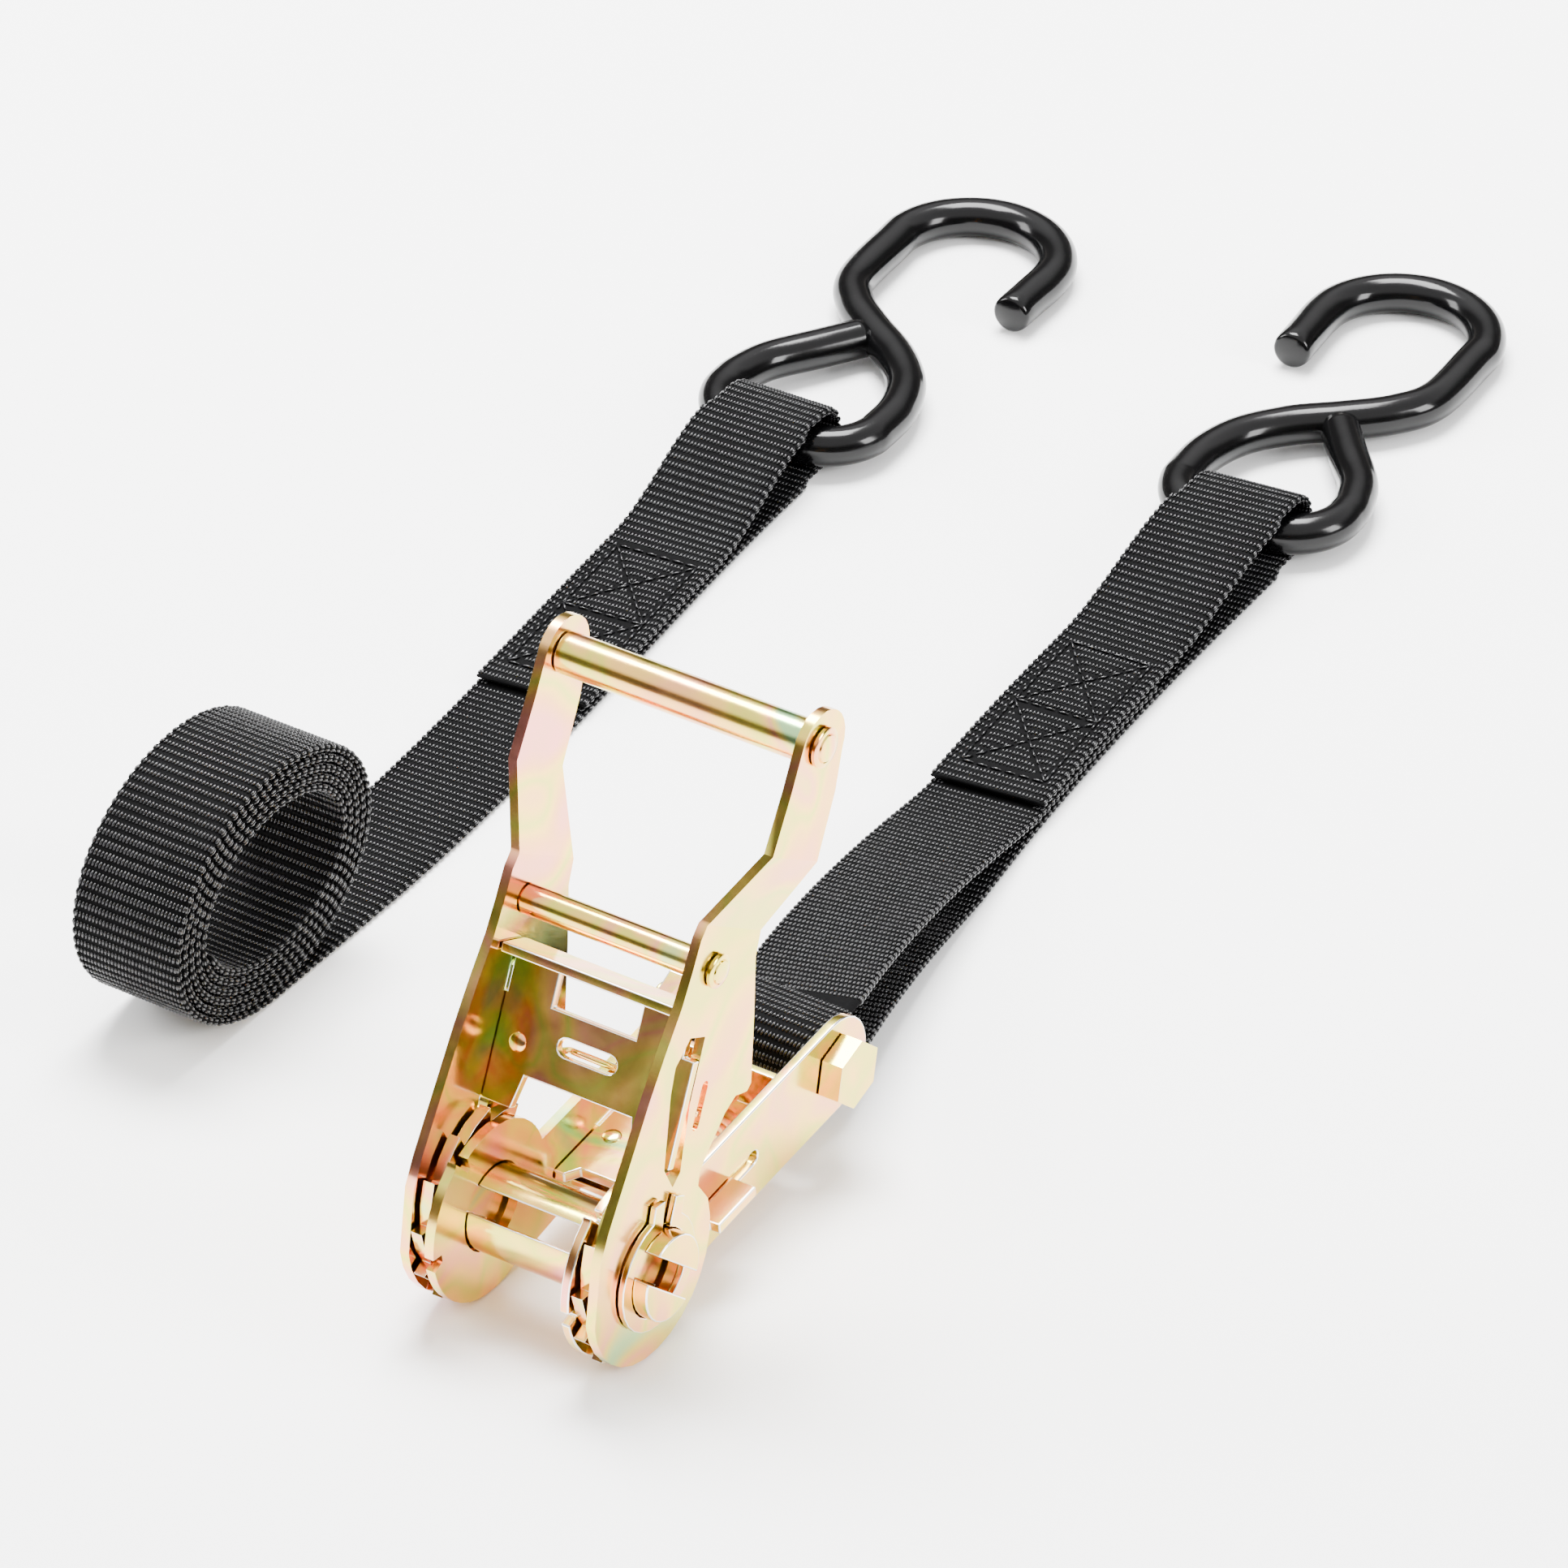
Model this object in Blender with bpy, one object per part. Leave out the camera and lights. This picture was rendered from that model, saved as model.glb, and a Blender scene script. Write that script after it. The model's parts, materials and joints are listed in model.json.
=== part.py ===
"""A 25 mm ratchet strap: ratchet buckle, short strap, rolled long strap and two S-hooks.

Units are metres, +Z is up and the ground is at z = 0. The spindle lies along X, the
buckle's frame and both straps run towards +Y, and the open handle stands up from the
spindle. Each flat part is drawn in its own plane and extruded to its sheet thickness.
"""

from math import asin, atan2, cos, degrees, pi, radians, sin, sqrt, tan

import bmesh
import bpy
from mathutils import Matrix, Vector

MM = 0.001

# Where the buckle stands, and how its two leaves are turned about the spindle.
SPINDLE = Vector((62.6, -191.3, 19.5)) * MM
FRAME_TILT = radians(6.5)
HANDLE_ANGLE = radians(65.8)
SLOT_ANGLE = radians(-41.5)

SHEET = 2.0 * MM  # thickness of every pressed plate
GAP = 0.3 * MM  # running or fitting gap between neighbours

# Frame: two side plates, seen from the side with the spindle at 0, 0.
FRAME_INNER = 14.2 * MM
CAM_RADIUS = 19.3 * MM
WORK_RADIUS = 17.5 * MM
TAIL_TOP = 3.5 * MM
TAIL_BOTTOM = -17.1 * MM
ANCHOR = (71.0 * MM, -6.8 * MM)
TAIL_END_RADIUS = 10.3 * MM
SPINDLE_HOLE = 9.2 * MM

# Handle: two side plates that step out to a wider grip.
HANDLE_INNER = 20.0 * MM
HANDLE_STEPS = (8.6 * MM, 6.3 * MM)  # right arm, left arm
LOBE_RADIUS = 19.2 * MM
GRIP_AT = (105.5 * MM, -0.4 * MM)
CROSS_PIN_AT = (59.6 * MM, 3.6 * MM)
GRIP_END = (105.2 * MM, -1.3 * MM)
GRIP_END_RADIUS = 7.4 * MM

# Spindle: two half-round bars with a slot for the webbing between them.
BAR_RADIUS = 8.8 * MM
SLOT_WIDTH = 5.4 * MM
BAR_HALF_LENGTH = 26.6 * MM
WHEEL_TIP = 19.6 * MM
WHEEL_ROOT = 16.6 * MM
WHEEL_TEETH = 12
WHEEL_X = (16.9 * MM, 19.3 * MM)
TOOTH_TIP_ANGLE = radians(-11.4)

# Slides.
SLIDER_Z = (1.5 * MM, 3.5 * MM)
PAWL_Z = (-8.65 * MM, -6.35 * MM)

# Webbing and hooks.
STRAP_WIDTH = 25.4 * MM
STRAP_THICK = 1.7 * MM
LAYER = 2.0 * MM  # one layer of webbing and the air above it
WIRE_RADIUS = 4.1 * MM
EYE_SLACK = 4.0 * MM  # how far the fold stands off the straight part of the eye
EYE_ROOM = 2.2 * MM  # play above the wire, so that the hook can swing up
FOLD_NARROWING = 0.9  # the webbing bunches a little where it passes through the eye
HOOK_YAW = (radians(7.6), radians(2.7))
SHORT_EYE = Vector((-30.6 * MM, 295.6 * MM, 0))
LONG_EYE = Vector((-131.0 * MM, 271.0 * MM, 0))
SHORT_SWING = -0.33  # how steeply the short strap leaves the frame sideways
ROLL_CENTRE = Vector((-115.7 * MM, 55.0 * MM, 0))
ROLL_AXES = (32.9 * MM, 26.2 * MM)
ROLL_TILT = radians(7.0)
ROLL_TURNS = 5.2
ROLL_PITCH = 2.05 * MM
ROLL_STEPS = 28


def clear_scene():
    for old in list(bpy.data.objects):
        bpy.data.objects.remove(old, do_unlink=True)


def make_material(name, colour, roughness, metallic):
    material = bpy.data.materials.new(name)
    material.use_nodes = True
    shader = material.node_tree.nodes["Principled BSDF"]
    shader.inputs["Base Color"].default_value = (*colour, 1)
    shader.inputs["Roughness"].default_value = roughness
    shader.inputs["Metallic"].default_value = metallic
    return material


def add_empty(name, location, rotation_x=0.0):
    empty = bpy.data.objects.new(name, None)
    empty.location = location
    empty.rotation_euler = (rotation_x, 0, 0)
    bpy.context.scene.collection.objects.link(empty)
    return empty


def add_object(name, mesh_data, material, parent=None, location=(0, 0, 0), smooth=False):
    """Turn a bmesh into a named object with outward faces."""
    bmesh.ops.recalc_face_normals(mesh_data, faces=mesh_data.faces)
    mesh = bpy.data.meshes.new(name)
    mesh_data.to_mesh(mesh)
    mesh_data.free()
    mesh.materials.append(material)
    thing = bpy.data.objects.new(name, mesh)
    bpy.context.scene.collection.objects.link(thing)
    thing.parent = parent
    thing.location = location
    if smooth:
        mesh.shade_smooth()
        mesh.set_sharp_from_angle(angle=radians(35))
    return thing


def arc(centre, radius, start, end, steps):
    """Points along an arc, both ends included, angles in degrees."""
    points = []
    for i in range(steps + 1):
        a = radians(start + (end - start) * i / steps)
        points.append((centre[0] + radius * cos(a), centre[1] + radius * sin(a)))
    return points


def circle(centre, radius, steps=20):
    return arc(centre, radius, 0, 360, steps)[:-1]


def slot(low, high, middle, half_width, steps=6):
    """A round-ended slot along the first axis."""
    ends = arc((high - half_width, middle), half_width, -90, 90, steps)
    return ends + arc((low + half_width, middle), half_width, 90, 270, steps)


def rectangle(low_a, high_a, low_b, high_b):
    return [(low_a, low_b), (high_a, low_b), (high_a, high_b), (low_a, high_b)]


def prism(outline, holes, low, high, place):
    """Extrude a flat outline with holes from low to high; place(a, b, c) sets the axes."""
    shape = bmesh.new()
    for loop in [outline, *holes]:
        corners = [shape.verts.new(place(a, b, low)) for a, b in loop]
        for one, two in zip(corners, corners[1:] + corners[:1]):
            shape.edges.new((one, two))
    filled = bmesh.ops.triangle_fill(shape, use_beauty=True, edges=shape.edges[:])
    faces = [f for f in filled["geom"] if isinstance(f, bmesh.types.BMFace)]
    extruded = bmesh.ops.extrude_face_region(shape, geom=faces)
    moved = [v for v in extruded["geom"] if isinstance(v, bmesh.types.BMVert)]
    bmesh.ops.translate(shape, verts=moved, vec=place(0, 0, high - low) - place(0, 0, 0))
    bmesh.ops.recalc_face_normals(shape, faces=shape.faces)
    return shape


def side_view(a, b, c):
    """Outline in the Y-Z plane, thickness along X."""
    return Vector((c, a, b))


def plan_view(a, b, c):
    """Outline in the X-Y plane, thickness along Z."""
    return Vector((a, b, c))


def loft(rings):
    """Skin equal rings of points into one closed body."""
    shape = bmesh.new()
    rows = [[shape.verts.new(p) for p in ring] for ring in rings]
    count = len(rows[0])
    for row, after in zip(rows, rows[1:]):
        for i in range(count):
            j = (i + 1) % count
            shape.faces.new((row[i], row[j], after[j], after[i]))
    shape.faces.new(list(reversed(rows[0])))
    shape.faces.new(rows[-1])
    return shape


def turned(profile, steps=24):
    """Turn an (x, radius) profile about X; the ends are closed flat discs."""
    rings = []
    for x, radius in profile:
        rings.append([Vector((x, y, z)) for y, z in circle((0, 0), radius, steps)])
    return loft(rings)


def turned_tube(profile, steps=24):
    """Turn a closed (x, radius) loop about X into a hollow body."""
    shape = bmesh.new()
    rows = []
    for x, radius in profile:
        rows.append([shape.verts.new((x, y, z)) for y, z in circle((0, 0), radius, steps)])
    for row, after in zip(rows, rows[1:] + rows[:1]):
        for i in range(steps):
            j = (i + 1) % steps
            shape.faces.new((row[i], row[j], after[j], after[i]))
    return shape


def wire(points, radius, sides):
    """A round wire along a path, with a frame carried along so it never twists."""
    path = [Vector(p) for p in points]
    rings = []
    normal = None
    for i, point in enumerate(path):
        along = (path[min(i + 1, len(path) - 1)] - path[max(i - 1, 0)]).normalized()
        if normal is None:
            normal = along.orthogonal()
        normal = (normal - along * normal.dot(along)).normalized()
        across = along.cross(normal)
        ring = []
        for k in range(sides):
            a = 2 * pi * k / sides
            ring.append(point + normal * (radius * cos(a)) + across * (radius * sin(a)))
        rings.append(ring)
    return loft(rings)


# ---- the frame ----


def frame_outline():
    """Side plate: working arc, cam arc with its two notches, then the tail."""
    start = degrees(asin(TAIL_TOP / WORK_RADIUS))
    outline = arc((0, 0), WORK_RADIUS, start, 110, 9)
    outline += arc((0, 0), 14.6 * MM, 111.5, 115.5, 1)
    outline += [(19.9 * MM * cos(radians(118)), 19.9 * MM * sin(radians(118)))]
    outline += arc((0, 0), CAM_RADIUS, 121, 176, 6)
    outline += arc((0, 0), 16.6 * MM, 177.5, 183.5, 1)
    outline += arc((0, 0), CAM_RADIUS, 185, 284, 11)
    outline += [(26 * MM, TAIL_BOTTOM)]
    outline += arc(ANCHOR, TAIL_END_RADIUS, -90, 90, 12)
    return outline


def add_frame_plates(axis, steel):
    holes = [
        circle((0, 0), SPINDLE_HOLE, 28),
        circle(ANCHOR, 4.3 * MM, 16),
        slot(19.0 * MM, 43.5 * MM, -7.5 * MM, 1.55 * MM),
        rectangle(29.7 * MM, 36.3 * MM, -13.7 * MM, -11.5 * MM),
    ]
    for name, side in (("frame_plate_right", 1), ("frame_plate_left", -1)):
        low, high = sorted((side * FRAME_INNER, side * (FRAME_INNER + SHEET)))
        plate = prism(frame_outline(), holes, low, high, side_view)
        add_object(name, plate, steel, axis)


def add_spring_bracket(axis, steel):
    """Plate under the pawl with a turned-up end that the pawl spring pushes on."""
    half = FRAME_INNER - GAP
    tab = FRAME_INNER + SHEET - 0.1 * MM
    profile = [
        (24, -13.4), (60, -13.4), (60, -2.6), (58.3, -2.6), (58.3, -11.8), (24, -11.8),
    ]
    profile = [(y * MM, z * MM) for y, z in profile]
    body = prism(profile, [], -half, half, side_view)
    bracket = add_object("spring_bracket", body, steel, axis)
    for side in (1, -1):
        low, high = sorted((side * 10 * MM, side * tab))
        ear = prism(rectangle(30 * MM, 36 * MM, -13.4 * MM, -11.8 * MM), [], low, high, side_view)
        unite(bracket, ear)
    return bracket


def unite(target, extra):
    """Join a second closed shape, drawn in the same axes, with an exact union."""
    cutter = add_object(
        "union_piece", extra, target.data.materials[0], target.parent, target.location
    )
    modifier = target.modifiers.new("combine", "BOOLEAN")
    modifier.object = cutter
    modifier.operation = "UNION"
    modifier.solver = "EXACT"
    bpy.context.view_layer.update()
    graph = bpy.context.evaluated_depsgraph_get()
    result = bpy.data.meshes.new_from_object(target.evaluated_get(graph))
    target.modifiers.clear()
    target.data = result
    bpy.data.objects.remove(cutter, do_unlink=True)


def hexagon(across_flats, turn):
    return arc((0, 0), across_flats / sqrt(3), turn, turn + 300, 5)


def add_anchor(axis, steel):
    """Hex bolt, nut and the spacer tube that the short strap is looped round."""
    place = (0, ANCHOR[0], ANCHOR[1])
    face = FRAME_INNER + SHEET + GAP
    head = prism(hexagon(12.5 * MM, 12), [], face, face + 4.5 * MM, side_view)
    bolt = add_object("anchor_bolt", head, steel, axis, place)
    unite(bolt, turned([(-24.6 * MM, 3.5 * MM), (-24.0 * MM, 4 * MM), (17 * MM, 4 * MM)], 20))
    nut = prism(hexagon(13 * MM, 20), [circle((0, 0), 4.3 * MM, 16)], -face - 6 * MM, -face, side_view)
    add_object("anchor_nut", nut, steel, axis, place)
    end = FRAME_INNER - GAP
    tube = [(-end, 5.5 * MM), (end, 5.5 * MM), (end, 4.3 * MM), (-end, 4.3 * MM)]
    add_object("anchor_spacer", turned_tube(tube, 20), steel, axis, place, True)


def add_frame_pawl(axis, steel):
    """Sliding pawl: its ears reach out through the side plates to both wheels."""
    inner, ear, tip = FRAME_INNER - GAP, 21.8 * MM, WHEEL_X[1] + GAP
    half = [
        (2.0 * MM, 43.0 * MM),
        (inner, 43.0 * MM),
        (inner, 34.5 * MM),
        (ear, 34.5 * MM),
        (ear, 22.0 * MM),
        (tip, 22.0 * MM),
        (tip, 15.9 * MM),
        (16.5 * MM, 15.9 * MM),
        (16.5 * MM, 19.6 * MM),
        (12.0 * MM, 19.6 * MM),
        (10.0 * MM, 22.5 * MM),
    ]
    outline = [(2.0 * MM, 49.0 * MM), *half]
    outline += [(-x, y) for x, y in reversed(outline)]
    body = prism(outline, [], *PAWL_Z, plan_view)
    add_object("frame_pawl", body, steel, axis)


def add_pawl_spring(axis, spring_steel):
    turns, coil = 6, 3.2 * MM
    low, high = 43.9 * MM, 57.5 * MM
    points = []
    for i in range(turns * 12 + 1):
        a = 2 * pi * i / 12
        y = low + (high - low) * i / (turns * 12)
        points.append((coil * cos(a), y, -7.5 * MM + coil * sin(a)))
    add_object("pawl_spring", wire(points, 0.45 * MM, 6), spring_steel, axis, smooth=True)


# ---- the spindle ----


def d_shape(radius, flat, steps=12):
    """Half-round outline above a flat."""
    edge = degrees(asin(flat / radius))
    return arc((0, 0), radius, edge, 180 - edge, steps)


def add_spindle(axis, steel):
    flat = SLOT_WIDTH / 2
    upper = d_shape(BAR_RADIUS, flat)
    for name, side in (("spindle_bar_upper", 1), ("spindle_bar_lower", -1)):
        outline = [(a * side, b * side) for a, b in upper]
        bar = prism(outline, [], -BAR_HALF_LENGTH, BAR_HALF_LENGTH, side_view)
        add_object(name, bar, steel, axis)


def wheel_outline(turn):
    """Saw teeth: a steep flank at each tip, then a slow climb to the next tip."""
    outline = []
    pitch = 2 * pi / WHEEL_TEETH
    for i in range(WHEEL_TEETH):
        tip = TOOTH_TIP_ANGLE - i * pitch - turn
        for share, radius in ((0, WHEEL_TIP), (0.06, WHEEL_ROOT), (0.5, 17.9 * MM)):
            a = tip - share * pitch
            outline.append((radius * cos(a), radius * sin(a)))
    return outline


def add_ratchet_wheels(axis, steel):
    hole = d_shape(BAR_RADIUS + 0.2 * MM, SLOT_WIDTH / 2 - 0.2 * MM)
    holes = [hole, [(-a, -b) for a, b in hole]]
    for name, side in (("ratchet_wheel_right", 1), ("ratchet_wheel_left", -1)):
        low, high = sorted((side * WHEEL_X[0], side * WHEEL_X[1]))
        wheel = prism(wheel_outline(SLOT_ANGLE), holes, low, high, side_view)
        add_object(name, wheel, steel, axis)


def add_retaining_rings(axis, steel):
    """Open spring rings with two lugs that keep the handle plates on the spindle."""
    outer, inner = 12.0 * MM, BAR_RADIUS + 0.25 * MM
    gap = 74 - degrees(SLOT_ANGLE)
    outline = arc((0, 0), inner, gap + 8, gap + 352, 24)
    outline += arc((0, 0), 15.2 * MM, gap + 353, gap + 341, 3)
    outline += arc((0, 0), outer, gap + 336, gap + 24, 22)
    outline += arc((0, 0), 15.2 * MM, gap + 19, gap + 7, 3)
    face = HANDLE_INNER + SHEET + GAP
    for name, side in (("retaining_ring_right", 1), ("retaining_ring_left", -1)):
        low, high = sorted((side * face, side * (face + 1.2 * MM)))
        add_object(name, prism(outline, [], low, high, side_view), steel, axis)


# ---- the handle ----


def handle_outline():
    """Lobe round the spindle, wide body with a shoulder, then the arm and round end."""
    back = [
        (3.8, 20.3), (10.1, 20.0), (22.6, 18.1), (35.1, 16.3), (44.4, 14.5), (52.9, 12.5),
        (59.9, 11.7), (66.0, 11.3), (69.6, 10.0), (84.8, 7.8), (96.9, 6.5),
    ]
    front = [
        (96.0, -9.9), (82.7, -9.5), (66.2, -10.4), (60.6, -10.9), (48.8, -15.6), (34.5, -20.8),
        (32.9, -20.0), (32.5, -16.0), (29.5, -13.5), (21.4, -10.2), (18.3, -9.2), (15.4, -9.8),
    ]
    outline = arc((0, 0), LOBE_RADIUS, -50, -240, 15)
    outline += [(a * MM, b * MM) for a, b in back]
    outline += arc(GRIP_END, GRIP_END_RADIUS, 93, -95, 12)
    return outline + [(a * MM, b * MM) for a, b in front]


def bend(shape, shift):
    """Step the plate sideways to the wide grip between two slanting bend lines."""
    low, high, slant = 67.4 * MM, 83.6 * MM, 0.15
    for line in (low, high):
        everything = shape.verts[:] + shape.edges[:] + shape.faces[:]
        bmesh.ops.bisect_plane(
            shape, geom=everything, dist=1e-7, plane_co=(0, line, 0), plane_no=(0, 1, -slant)
        )
    for v in shape.verts:
        share = (v.co.y - slant * v.co.z - low) / (high - low)
        v.co.x += shift * min(max(share, 0), 1)


def add_handle_plates(axis, steel):
    slider_slot = [
        (16.3, -0.1), (19.2, -1.7), (23.4, -0.8), (33.2, 0.9), (46.2, 1.1), (46.5, 6.6),
        (43.6, 8.1), (41.1, 9.6), (35.8, 9.0), (24.2, 5.7), (20.2, 4.6),
    ]
    wide_slot = [(a * MM, b * MM) for a, b in slider_slot]
    plain_slot = slot(17.0 * MM, 47.2 * MM, 2.05 * MM, 1.85 * MM)
    holes = [
        circle((0, 0), SPINDLE_HOLE, 28),
        circle(GRIP_AT, 2.9 * MM, 14),
        circle(CROSS_PIN_AT, 2.5 * MM, 14),
        slot(27.0 * MM, 37.0 * MM, -3.3 * MM, 1.1 * MM),
    ]
    plates = (("handle_plate_right", 1, wide_slot), ("handle_plate_left", -1, plain_slot))
    for (name, side, slider_hole), step in zip(plates, HANDLE_STEPS):
        low, high = sorted((side * HANDLE_INNER, side * (HANDLE_INNER + SHEET)))
        plate = prism(handle_outline(), [*holes, slider_hole], low, high, side_view)
        bend(plate, side * step)
        add_object(name, plate, steel, axis)


def add_handle_pins(axis, steel):
    """Grip rivet with its loose sleeve between the arms, and the cross pin."""
    right, left = HANDLE_STEPS
    inner = HANDLE_INNER + (right + left) / 2
    middle = ((right - left) / 2, *GRIP_AT)
    head_at = inner + SHEET + GAP
    half = [
        (head_at, 2.6 * MM),
        (head_at, 4.0 * MM),
        (head_at + 1.1 * MM, 4.0 * MM),
        (head_at + 1.5 * MM, 2.8 * MM),
    ]
    grip = turned([(-x, r) for x, r in reversed(half)] + half, 20)
    add_object("grip_pin", grip, steel, axis, middle, True)
    end = inner - GAP
    sleeve = [(-end, 4.2 * MM), (end, 4.2 * MM), (end, 2.95 * MM), (-end, 2.95 * MM)]
    add_object("grip_sleeve", turned_tube(sleeve), steel, axis, middle, True)
    head_at = HANDLE_INNER + SHEET + GAP
    half = [
        (HANDLE_INNER - GAP, 3.0 * MM),
        (HANDLE_INNER - GAP, 2.2 * MM),
        (head_at, 2.2 * MM),
        (head_at, 3.4 * MM),
        (head_at + 1.1 * MM, 3.4 * MM),
        (head_at + 1.5 * MM, 2.4 * MM),
    ]
    cross = turned([(-x, r) for x, r in reversed(half)] + half, 20)
    add_object("cross_pin", cross, steel, axis, (0, *CROSS_PIN_AT), True)


def add_handle_slider(axis, steel):
    """Sliding pawl plate with a finger flange, a window and ears in the side slots."""
    inner, ear = HANDLE_INNER - GAP, HANDLE_INNER + SHEET + 0.2 * MM
    right = [
        (inner, 51.8 * MM),
        (inner, 41.5 * MM),
        (ear, 41.5 * MM),
        (ear, 20.1 * MM),
        (13.4 * MM, 20.1 * MM),
        (12.0 * MM, 27.0 * MM),
    ]
    outline = right + [(-x, y) for x, y in reversed(right)]
    holes = [
        rectangle(-9.6 * MM, 9.2 * MM, 41.4 * MM, 49.0 * MM),
        slot(-6.6 * MM, 6.6 * MM, 35.0 * MM, 1.8 * MM),
    ]
    body = prism(outline, holes, *SLIDER_Z, plan_view)
    slider = add_object("handle_slider", body, steel, axis)
    flange = rectangle(-inner, inner, 49.8 * MM, 51.8 * MM)
    unite(slider, prism(flange, [], 2.5 * MM, 9.5 * MM, plan_view))


def add_handle_spring(axis, spring_steel):
    """Bow spring: ends in the side slits, middle hooked through the slider's slot."""
    half = [
        (21.8, 30.4, -3.3),
        (19.5, 30.4, -3.2),
        (13.0, 31.6, -1.7),
        (7.5, 33.2, -0.2),
        (5.4, 34.0, 0.4),
        (3.2, 34.6, 2.3),
        (0.0, 34.8, 2.9),
    ]
    left = [(-x, y, z) for x, y, z in half[:-1]]
    points = [Vector(p) * MM for p in half + left[::-1]]
    add_object("handle_spring", wire(points, 0.7 * MM, 8), spring_steel, axis, smooth=True)


# ---- hooks ----


def hook_path():
    """Centre line of the S-hook in its own plane: closed eye first, then the open bow."""
    corner, half, bow = 12.2, 6.2, 18.5
    eye_end = [(3.6, 44.0), (9.4, 35.0), (15.8, 25.2), (18.2, 17.0)]
    eye = [(a, b) for a, b in arc((half, corner), corner, 0, -90, 8)]
    eye += arc((-half, corner), corner, -90, -180, 8)
    shank = [(-17.8, 22.0), (-14.0, 32.2), (-6.6, 40.6), (3.0, 47.6), (11.4, 54.6), (16.9, 63.6)]
    open_bow = arc((0, 84.5), bow, -10, 180, 14) + [(-18.5, 77.0), (-18.5, 69.5)]
    return [(a * MM, b * MM) for a, b in eye_end + eye + shank + open_bow]


def add_hook(name, eye, yaw, mirror, rubber):
    """The hook's origin is the middle of its eye's straight side, on the swing axis."""
    height = STRAP_THICK + GAP + WIRE_RADIUS
    droop = asin((height - WIRE_RADIUS) / (103 * MM))
    path = [Vector((mirror * a, b, 0)) for a, b in hook_path()]
    hook = add_object(name, wire(path, WIRE_RADIUS, 14), rubber, None, smooth=True)
    hook.location = Vector((SPINDLE.x + eye.x, SPINDLE.y + eye.y, height))
    hook.rotation_euler = (-droop, 0, yaw)


# ---- webbing ----


def ribbon(points, sides):
    """Flat webbing along a path; sides are the width directions at each point."""
    rings = []
    for i, point in enumerate(points):
        along = (points[min(i + 1, len(points) - 1)] - points[max(i - 1, 0)]).normalized()
        side = sides[i]
        up = side.cross(along).normalized() * (STRAP_THICK / 2)
        out = side * (STRAP_WIDTH / 2)
        rings.append([point + out + up, point - out + up, point - out - up, point + out - up])
    return loft(rings)


def ease(share):
    return share * share * (3 - 2 * share)


def slope(start, end, steps):
    """An S-shaped run between two (distance, height) points, ends left out."""
    points = []
    for i in range(1, steps):
        t = i / steps
        points.append((start[0] + (end[0] - start[0]) * t, start[1] + (end[1] - start[1]) * ease(t)))
    return points


def fold_round_eye(at):
    """Profile over the wire, down through the eye and back along the ground."""
    reach = WIRE_RADIUS + (GAP + EYE_ROOM + STRAP_THICK) / 2
    centre = (at + EYE_SLACK - EYE_ROOM / 2, STRAP_THICK / 2 + reach)
    return [(at - 5 * MM, centre[1] + reach)] + arc(centre, reach, 90, -90, 10)


def layer_height(index):
    return STRAP_THICK / 2 + index * LAYER


def short_profile(length, bolt_height):
    """Cut end, over the hook's eye, back to the anchor spacer and down to the stitches."""
    cut, stitched = length - 110 * MM, length - 52 * MM
    ground, middle, top = layer_height(0), layer_height(1), layer_height(2)
    fold = fold_round_eye(length)
    profile = [(cut, top), (cut + 20 * MM, top), (stitched, top)]
    profile += slope((stitched, top), fold[0], 6) + fold
    profile += [(length - 12 * MM, ground), (length - 30 * MM, ground)]
    profile += [(cut, ground), (cut - 22 * MM, ground)]
    profile += [(cut - 31 * MM, ground + 0.25 * MM), (cut - 40 * MM, ground + 1.35 * MM)]
    wrap = 5.5 * MM + GAP + STRAP_THICK / 2
    profile += arc((0, bolt_height), wrap, -99, -282, 12)
    profile += [(cut - 14 * MM, middle + 2.35 * MM), (cut - 8 * MM, middle + 1.1 * MM)]
    profile += [(cut - 2.5 * MM, middle + 0.2 * MM), (cut + 3 * MM, middle)]
    profile += [(cut + 30 * MM, middle), (stitched - 6 * MM, middle)]
    return profile


def subdivide(profile, step):
    """Split the long runs of a profile so that it can follow a curved plan line."""
    points = [profile[0]]
    for one, two in zip(profile, profile[1:]):
        count = max(int((Vector(two) - Vector(one)).length / step), 1)
        for k in range(1, count + 1):
            points.append(tuple(Vector(one).lerp(Vector(two), k / count)))
    return points


def lay_along(profile, start, end, slopes, end_yaw):
    """Stand a (distance, height) profile on a plan line from start to end. The line runs
    along +Y at first, then swings over with the given sideways slopes at its two ends,
    and the webbing turns square to the eye where it reaches it."""
    straight, leaving, arriving = slopes
    length = end.y - start.y - straight
    drift = end.x - start.x
    points, sides = [], []
    for a, b in profile:
        t = max(a - straight, 0) / length
        over = length * leaving * (t**3 - 2 * t**2 + t) + length * arriving * (t**3 - t**2)
        over += drift * (3 * t**2 - 2 * t**3)
        heading = leaving * (3 * t**2 - 4 * t + 1) + arriving * (3 * t**2 - 2 * t)
        heading += drift / length * 6 * (t - t**2)
        if t == 0:
            over, heading = 0, 0
        near_eye = ease(min(max((a - straight - length) / (45 * MM) + 1.2, 0), 1))
        heading = heading * (1 - near_eye) - tan(end_yaw) * near_eye
        narrow = ease(min(max((a - straight - length) / (4 * MM) + 2, 0), 1))
        side = Vector((1, -heading, 0)).normalized() * (1 - narrow * (1 - FOLD_NARROWING))
        points.append(start + Vector((over, a, b)))
        sides.append(side)
    return points, sides


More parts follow.
